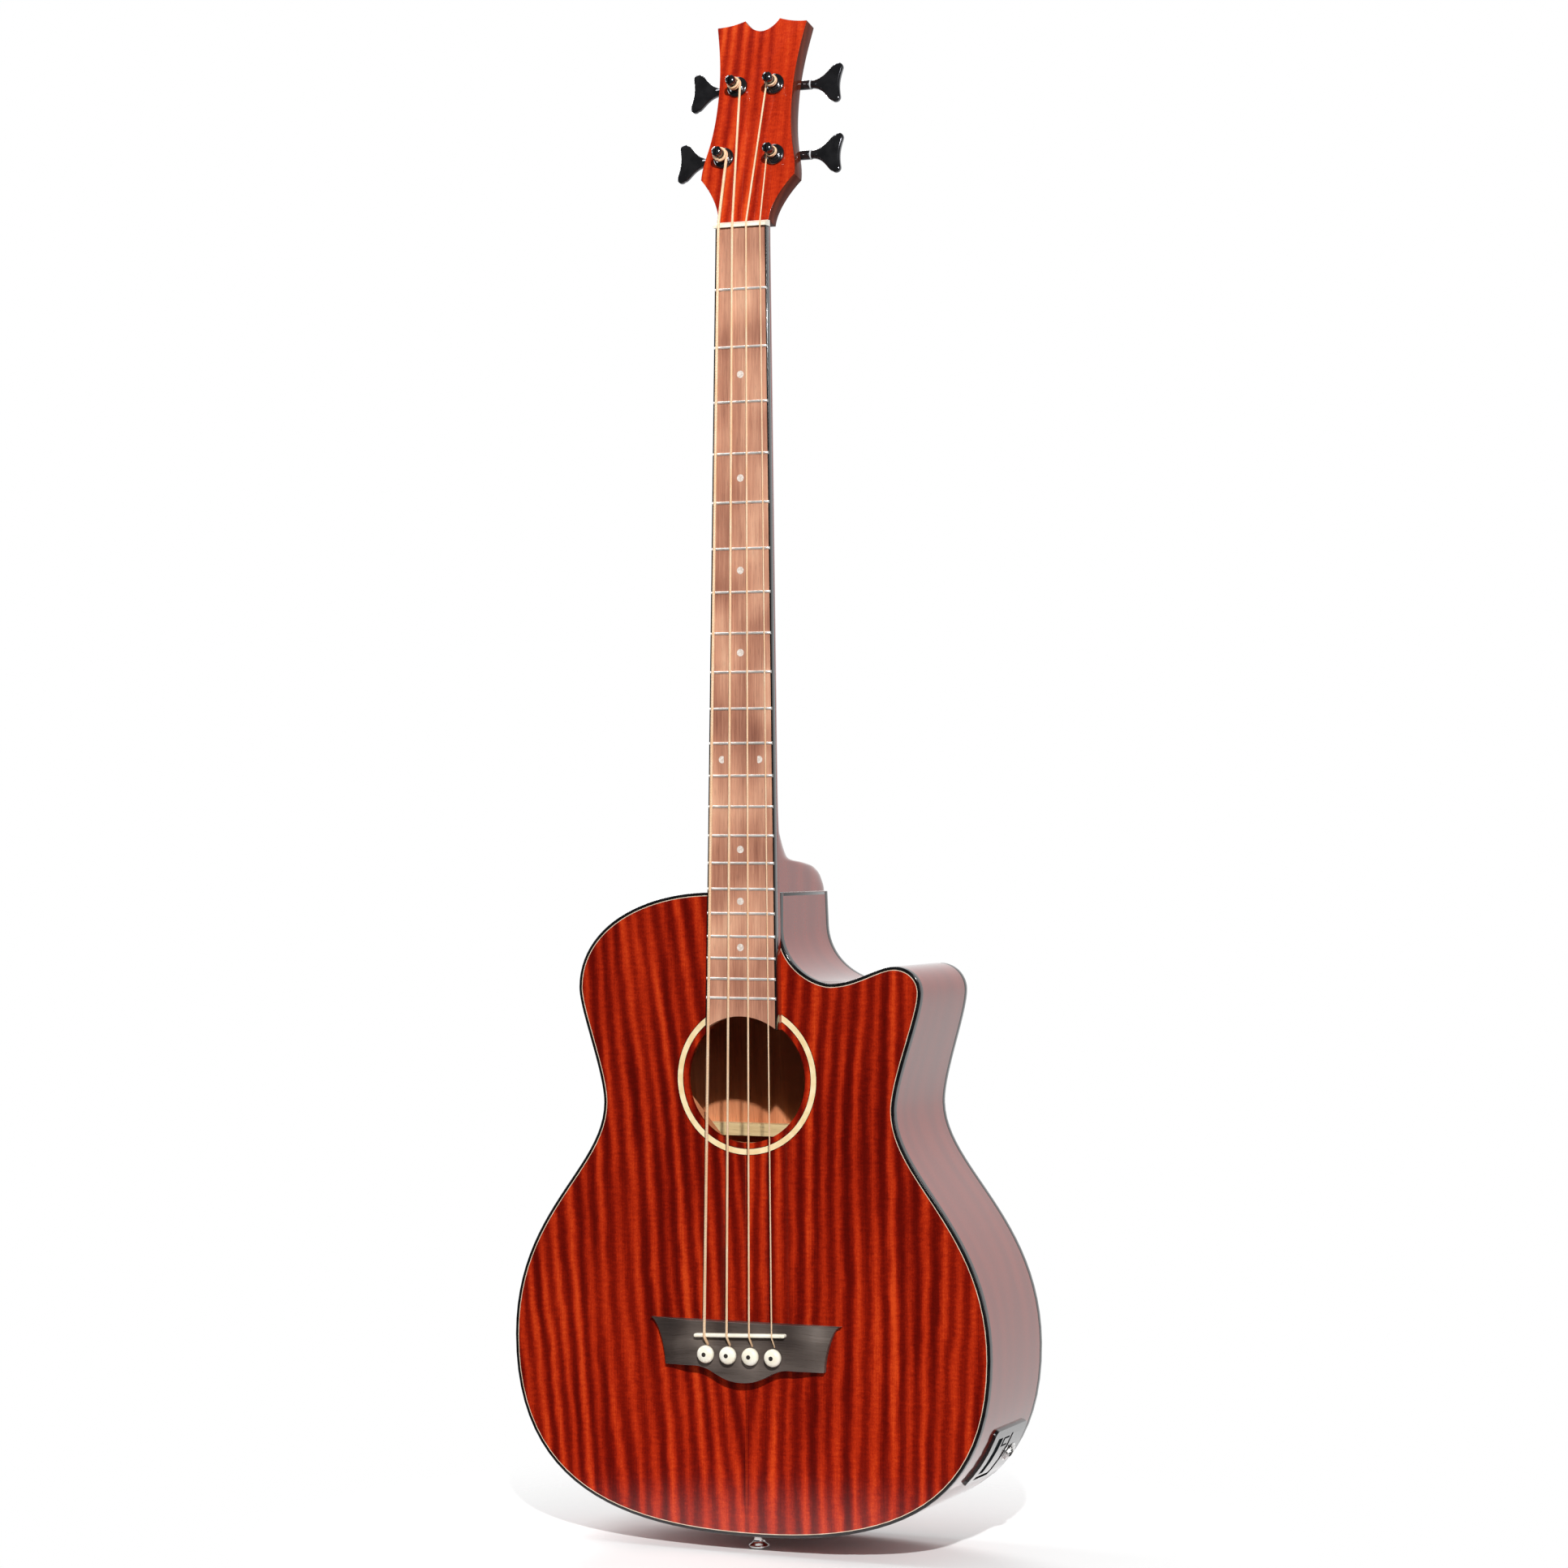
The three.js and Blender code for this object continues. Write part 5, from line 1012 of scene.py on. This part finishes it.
def tunerParts():
    # a tuner for the right side, round its post's foot on the headstock's face
    def onWorm(x):
        return local(x, tuner.gearDepth, tuner.wormOffset)

    rear = tuner.back + tuner.deep
    box = plate("gear_box", roundedBox(tuner.inner, tuner.low, tuner.outer, tuner.high,
                                       tuner.corner), tuner.back, rear, local)
    rounded(box, 1.4, 4, 50)
    sleeve = rod("gear_sleeve", tuner.sleeve, onWorm(9), onWorm(21.7), 40)
    rounded(sleeve, 0.5, 3)
    collar = settle(turned("gear_collar", tuner.collar + tuner.collar[:1], 56), quarterX)
    screw = turned("gear_screw", [(0, 0), (3.4, 0), (3.2, 0.7), (2.4, 1.0), (0, 1.1)], 32)
    carve(screw, block("slot_cutter", local(-4, -0.35, 0.5), local(4, 0.35, 2)))
    settle(screw, Matrix.Translation(local(0, rear - 0.9, 0)) @ quarterX.inverted())

    post = turned("tuner_stem", tuner.post, 40)
    carve(post, block("slot_cutter", local(-0.8, -9, 14.8), local(0.8, 9, 22)))
    settle(post, quarterX)

    half = tuner.keyThickness / 2
    button = plate("key_button", keyLoop(), -half, half, local)
    rounded(button, 1.5, 4, 60)
    settle(button, Matrix.Translation(onWorm(tuner.reach + 0.5)))
    stem = rod("key_stem", tuner.shaft, onWorm(5.5), onWorm(28), 32)
    knob = turned("key_collar", [(0, 0), (2.4, 0), (3.3, 0.3), (3.5, 1), (3.2, 2.4), (2.9, 5), (0, 5.2)], 32)
    settle(knob, Matrix.Translation(onWorm(tuner.reach + 0.8)) @ quarterY)
    washer = rod("key_washer", 3.9, onWorm(tuner.reach), onWorm(tuner.reach + 1), 40)
    rounded(washer, 0.25, 2)
    return {"case": merged("tuner_case", box, sleeve, collar, screw), "stem": post,
            "grip": merged("tuner_grip", button, stem, knob), "washer": washer}


parts = tunerParts()
finishes = {"case": ("housing", "guitar", blackChrome), "stem": ("post", "post_body", blackChrome),
            "grip": ("key", "key_body", blackChrome), "washer": (None, "key_body", greyWasher)}
for i, (hand, x, s) in enumerate(places):
    for kind, model in parts.items():
        node, rides, material = finishes[kind]
        made = copied(model, "tuner_%s_%d" % (kind, i + 1))
        settle(made, headWorld @ Matrix.Translation(local(x, 0, s)) @ Matrix.Scale(hand, 4, (1, 0, 0)))
        if hand < 0:
            outwards(made)
        bodyName = rides if rides == "guitar" else "tuner_%d_%s" % (i + 1, rides)
        done(made, material, "tuner_%d_%s" % (i + 1, node) if node else None, 40,
             body=bodyName)
for model in parts.values():
    bpy.data.objects.remove(model)
print("tuners built")

# Strap button

buttonProfile = [
    (0, -20), (1.8, -18.2), (1.8, 0.3), (7.9, 0.3), (8.4, 0.8), (8.3, 1.7), (7.4, 2.4),
    (5.6, 3.2), (4.7, 4.4), (4.5, 6.0), (4.7, 7.8), (5.8, 9.3), (7.4, 10.2), (8.1, 10.9),
    (8.2, 11.6), (7.6, 12.4), (6.2, 12.9), (4.2, 13.0), (4.0, 12.4), (0, 12.2),
]
knob = turned("strap_knob", buttonProfile, 56)
knob.matrix_world = Matrix.Translation(at(0, 25, bodyBottom)) @ quarterX @ quarterX
done(knob, chromePlate, "strap_button", 60)
print("strap button built")

# Jack panel, battery door and output jack

panel = Sizes(
    front=36, back=108, along=53, corner=6, rise=2.6, shares=(0.8252, 0.9068),
    doorFront=47, doorBack=79, doorAlong=40, doorRise=2.1, doorFloor=0.6,
    # the knuckle's radius, the gap round the door, the room below it, the hinge's x and z in metres
    knuckle=1.6, gap=0.35, slit=0.25, swing=1.4, hinge=(0.172583, -1.007838),
    wall=2, floor=3.4, bay=(28, 20, 50), jackY=93, past=30,
)


def across(points, z):  # x of a line of points at that height
    above = min((p for p in points if p.y >= z), key=lambda p: p.y)
    below = max((p for p in points if p.y < z), key=lambda p: p.y)
    return between(below.x, above.x, (z - below.y) / (above.y - below.y))


lowerSide = [p for p in outline if p.x > 0 and p.y < downBody(body.waistShare)]
high, low = (Vector((across(lowerSide, z), z)) for z in map(downBody, panel.shares))
middle = (high + low) / 2
turn = atan2(high.x - low.x, high.y - low.y)
panelWorld = Matrix.Translation(at(middle.x, 0, middle.y)) @ Matrix.Rotation(turn, 4, "Y")
fromWorld = panelWorld.inverted()


def bulgeAt(along):  # how far the side stands outside the panel's middle line
    return across([p.xz for p in (fromWorld @ at(p.x, 0, p.y) / mm for p in outline) if abs(p.x) < 12], along)


bulge = bulgeAt(0)


def panelBlock(name, lowX, highX, front, back, high, low=None):
    low = -high if low is None else low
    return settle(block(name, local(lowX, front, low), local(highX, back, high)), panelWorld)


def shell(name, outer, inner, front, back):  # a band that follows the side at two distances from it
    return ring(name, grown(outline, outer), outer - inner, front, back)


def cutBand(made, *cutter):
    carve(made, panelBlock("band_cutter", *cutter), operation="INTERSECT")


far, front, back, halfDoor = panel.past, panel.doorFront, panel.doorBack, panel.doorAlong / 2
flange = shell("panel_plate", panel.rise, -1.0, panel.front, panel.back)
cutter = block("panel_cutter", local(-far, panel.front, -panel.along / 2),
               local(far, panel.back, panel.along / 2))
choose(cutter, "EDGE", lambda a, b: abs(a.x - b.x) > 0.01)
bpy.ops.mesh.bevel(offset=panel.corner * mm, segments=8, affect="EDGES")
carve(flange, settle(cutter, panelWorld), operation="INTERSECT")
rounded(flange, 0.6, 3, 50)
apply(flange, "TRIANGULATE")  # flat faces, so that the cuts leave none out
wall = panel.wall
inside = shell("panel_frame", -0.3, -panel.floor, front - wall, back + wall)
cutBand(inside, -far, far, front - wall - 5, back + wall + 5, halfDoor + wall)
hingeX, hingeZ = (fromWorld @ Vector((panel.hinge[0], 0, panel.hinge[1])) / mm).xz
bayWide, bayTall, bayDeep = panel.bay
bayFront = (front + back - bayWide) / 2


def knuckle(name, radius, extra):
    ends = (local(hingeX, y, hingeZ) for y in (front - extra, back + extra))
    return settle(rod(name, radius, *ends), panelWorld)


def bayBlock(name, reach, wall):
    return panelBlock(name, -bayDeep - wall, reach, bayFront - wall, bayFront + bayWide + wall,
                      bayTall / 2 + wall)


for part in (flange, inside):  # room for the door, its knuckle and the battery
    room = shell("door_room", panel.rise + 4, -1.1, front - panel.slit, back + panel.slit)
    cutBand(room, -far, far, front - 5, back + 5, halfDoor + panel.gap, -halfDoor - panel.swing)
    carve(part, room, knuckle("knuckle_cutter", panel.knuckle + panel.gap, panel.slit),
          bayBlock("bay_cutter", far, 0))
bay = bayBlock("bay_body", bulge - 3.2, 1.5)
carve(bay, panelBlock("bay_cutter", -bayDeep, far, bayFront, bayFront + bayWide, bayTall / 2))
carve(flange, rod("jack_cutter", 5.1, *(panelWorld @ local(x, panel.jackY, 0) for x in (-far, far))))
panelBody = merged("panel_body", bay, inside, flange)
done(panelBody, blackGloss, "jack_panel", 12)
carve(side, panelBlock("side_cutter", -60, far, front - 2.3, back + 2.3, halfDoor + 2.3))
done(side, sideWood, "rim")

recess = Recipe("dark_recess", Specular_IOR_Level=0.1)
rx, ry, rz = recess.places()
dust = recess.noise(rx * 0.3, ry * 0.3, rz * 0.3)
recess.paint(recess.blend(dust, tone(40, 46, 49), tone(62, 69, 73)), dust * 0.1 + 0.6)


def doorBand(name, outer, inner, front, back, loop, shade):
    made = shell(name, outer, inner, front, back)
    plan = plate(name + "_plan", [Vector(point) for point in loop], -far, far, local)
    carve(made, settle(plan, panelWorld @ quarterZ), operation="INTERSECT")
    dress(made, blackGloss, recess.material)
    for patch in made.data.polygons:
        patch.material_index = shade
    return made


rise = panel.doorRise
wide = (front - 7, back + 11)
corners = [(wide[0], hingeZ), (wide[1], hingeZ), (wide[1], halfDoor), (wide[0], halfDoor)]
door = doorBand("door_plate", rise, -panel.doorFloor, front, back, corners, 0)
carve(door, knuckle("knuckle_rod", panel.knuckle, 0), operation="UNION")
rounded(door, 0.25, 2, 50)
fingerGroove = roundedBox(48.4, -15.6, 59.4, 18.4, 1.2, 4)
bracket = [(62, 9.4), (75, 9.4), (75, 11.2), (65.6, 11.2), (65.6, 16.2), (75, 16.2), (75, 18), (62, 18)]
for deep, loop in ((1.4, fingerGroove), (0.7, bracket)):
    carve(door, doorBand("groove_cutter", rise + 5, rise - deep, *wide, loop, 1))
dark = {patch.index for patch in door.data.polygons if patch.material_index == 1}
done(door, blackGloss, "battery_door", 12, (recess.material, lambda f: f.index in dark),
     "battery_door_body")

jack = Sizes(
    barrel=[(3.3, -28), (4.8, -28), (4.8, 2.4), (4.5, 2.8), (3.7, 2.8), (3.3, 2.4), (3.3, -28)],
    washer=[(4.9, -0.2), (8.6, -0.2), (8.6, 0.2), (8.2, 0.6), (4.9, 0.6), (4.9, -0.2)],
    nutRadius=7.0, nutHeight=1.6, nutMiddle=1.3,
)
jackWorld = (panelWorld @ Matrix.Translation(local(bulge + panel.rise, panel.jackY, 0)) @ quarterY)
barrel = turned("jack_barrel", jack.barrel, 48)
washer = turned("jack_washer", jack.washer, 48)
bpy.ops.mesh.primitive_cylinder_add(vertices=6, radius=jack.nutRadius * mm,
                                    depth=jack.nutHeight * mm, location=local(0, 0, jack.nutMiddle))
nutRing = settle(called("jack_nut"))
carve(nutRing, rod("nut_cutter", 4.85, local(0, 0, -10), local(0, 0, 10)))
rounded(nutRing, 0.3, 2)
socket = merged("jack_socket", barrel, washer, nutRing)
socket.matrix_world = jackWorld
done(socket, chromePlate, "output_jack", 40)
print("jack panel built")

# Floor, light and camera

stage = Sizes(
    floor=-1.0735, size=4, solid=60, gone=450,  # where the paper starts to fade and is gone
    ambient=(0.09, 0.45), glossy=(0.02, 0.88),  # the room's level in front and behind
)
bpy.ops.mesh.primitive_circle_add(vertices=64, radius=stage.size, fill_type="NGON",
                                  location=(0, 0, stage.floor))
ground = called("floor")
settle(ground)
paper = Recipe("pale_paper", Roughness=0.9, Specular_IOR_Level=0.1)
px, py, pz = paper.places()
speckle = paper.noise(px * 0.004, py * 0.004, pz * 0.004)
paper.paint(paper.blend(speckle, tone(244, 244, 244), tone(250, 250, 250)))
away = paper.node("ShaderNodeVectorMath", {"operation": "LENGTH"}, {
    0: paper.node("ShaderNodeCombineXYZ", values={0: px, 1: py - 60, 2: 0.0})}, output=1)
fade = away.spread(stage.solid, stage.gone)
clear = paper.node("ShaderNodeBsdfTransparent")
cover = paper.node("ShaderNodeMixShader", values={
    0: fade, 1: Tap(paper, paper.shader.outputs[0]), 2: clear})
paper.feed(paper.tree.nodes["Material Output"].inputs["Surface"], cover)
ground.data.materials.append(paper.material)

# The room is white behind the guitar and dim in front of it, as glossy surfaces show
world = bpy.data.worlds.new("studio")
bpy.context.scene.world = world
world.use_nodes = True
world.node_tree.nodes.clear()
room = Mixer(world.node_tree)
rays = room.node("ShaderNodeLightPath").socket.node.outputs
seen = Tap(room, rays["Is Camera Ray"]).math("MAXIMUM", Tap(room, rays["Is Camera Ray"]),
                                             Tap(room, rays["Is Transmission Ray"]))
aimed = room.node("ShaderNodeSeparateXYZ", values={0: room.node("ShaderNodeTexCoord")}, output=1)
glossy = Tap(room, rays["Is Glossy Ray"])
level = glossy * aimed.spread(0.25, 0.8, *stage.glossy) + (1.0 - glossy) * aimed.spread(
    -0.6, 0.8, *stage.ambient)
level = seen + (1.0 - seen) * level
backdrop = room.node("ShaderNodeBackground", values={0: (1, 1, 1, 1), 1: level})
final = world.node_tree.nodes.new("ShaderNodeOutputWorld")
room.feed(final.inputs[0], backdrop)

lamps = {  # place, size and power
    "key": ((1.63, -3.36, 1.41), 0.1, 188), "fill": ((2.60, -2.00, -0.10), 1.2, 12),
    "above": ((-1.30, -0.20, 2.00), 1.4, 28), "left": ((-2.90, -0.40, 0.20), 1.4, 20),
    "rear": ((-1.70, 2.60, 1.00), 1.6, 60),
}
aim = Vector((0, 0, -0.6))
for name, (spot, size, power) in lamps.items():
    bpy.ops.object.light_add(type="AREA", location=spot)
    lamp = bpy.context.object
    lamp.name = name
    lamp.data.shape = "DISK"
    lamp.data.size = size
    lamp.data.energy = power
    lamp.rotation_euler = (aim - Vector(spot)).to_track_quat("-Z", "Y").to_euler()

eye = {"spot": (1.20878, -2.75742, -0.50313), "turn": 23.672, "lens": 87.52, "shift": (0.02398, 0.03052)}
bpy.ops.object.camera_add(location=eye["spot"], rotation=(pi / 2, 0, radians(eye["turn"])))
camera = bpy.context.object
camera.data.sensor_width = 36
camera.data.lens = eye["lens"]
camera.data.shift_x, camera.data.shift_y = eye["shift"]
camera.data.clip_start = 0.01
bpy.context.scene.camera = camera
bpy.context.scene.view_settings.view_transform = "Standard"
print("stage set")
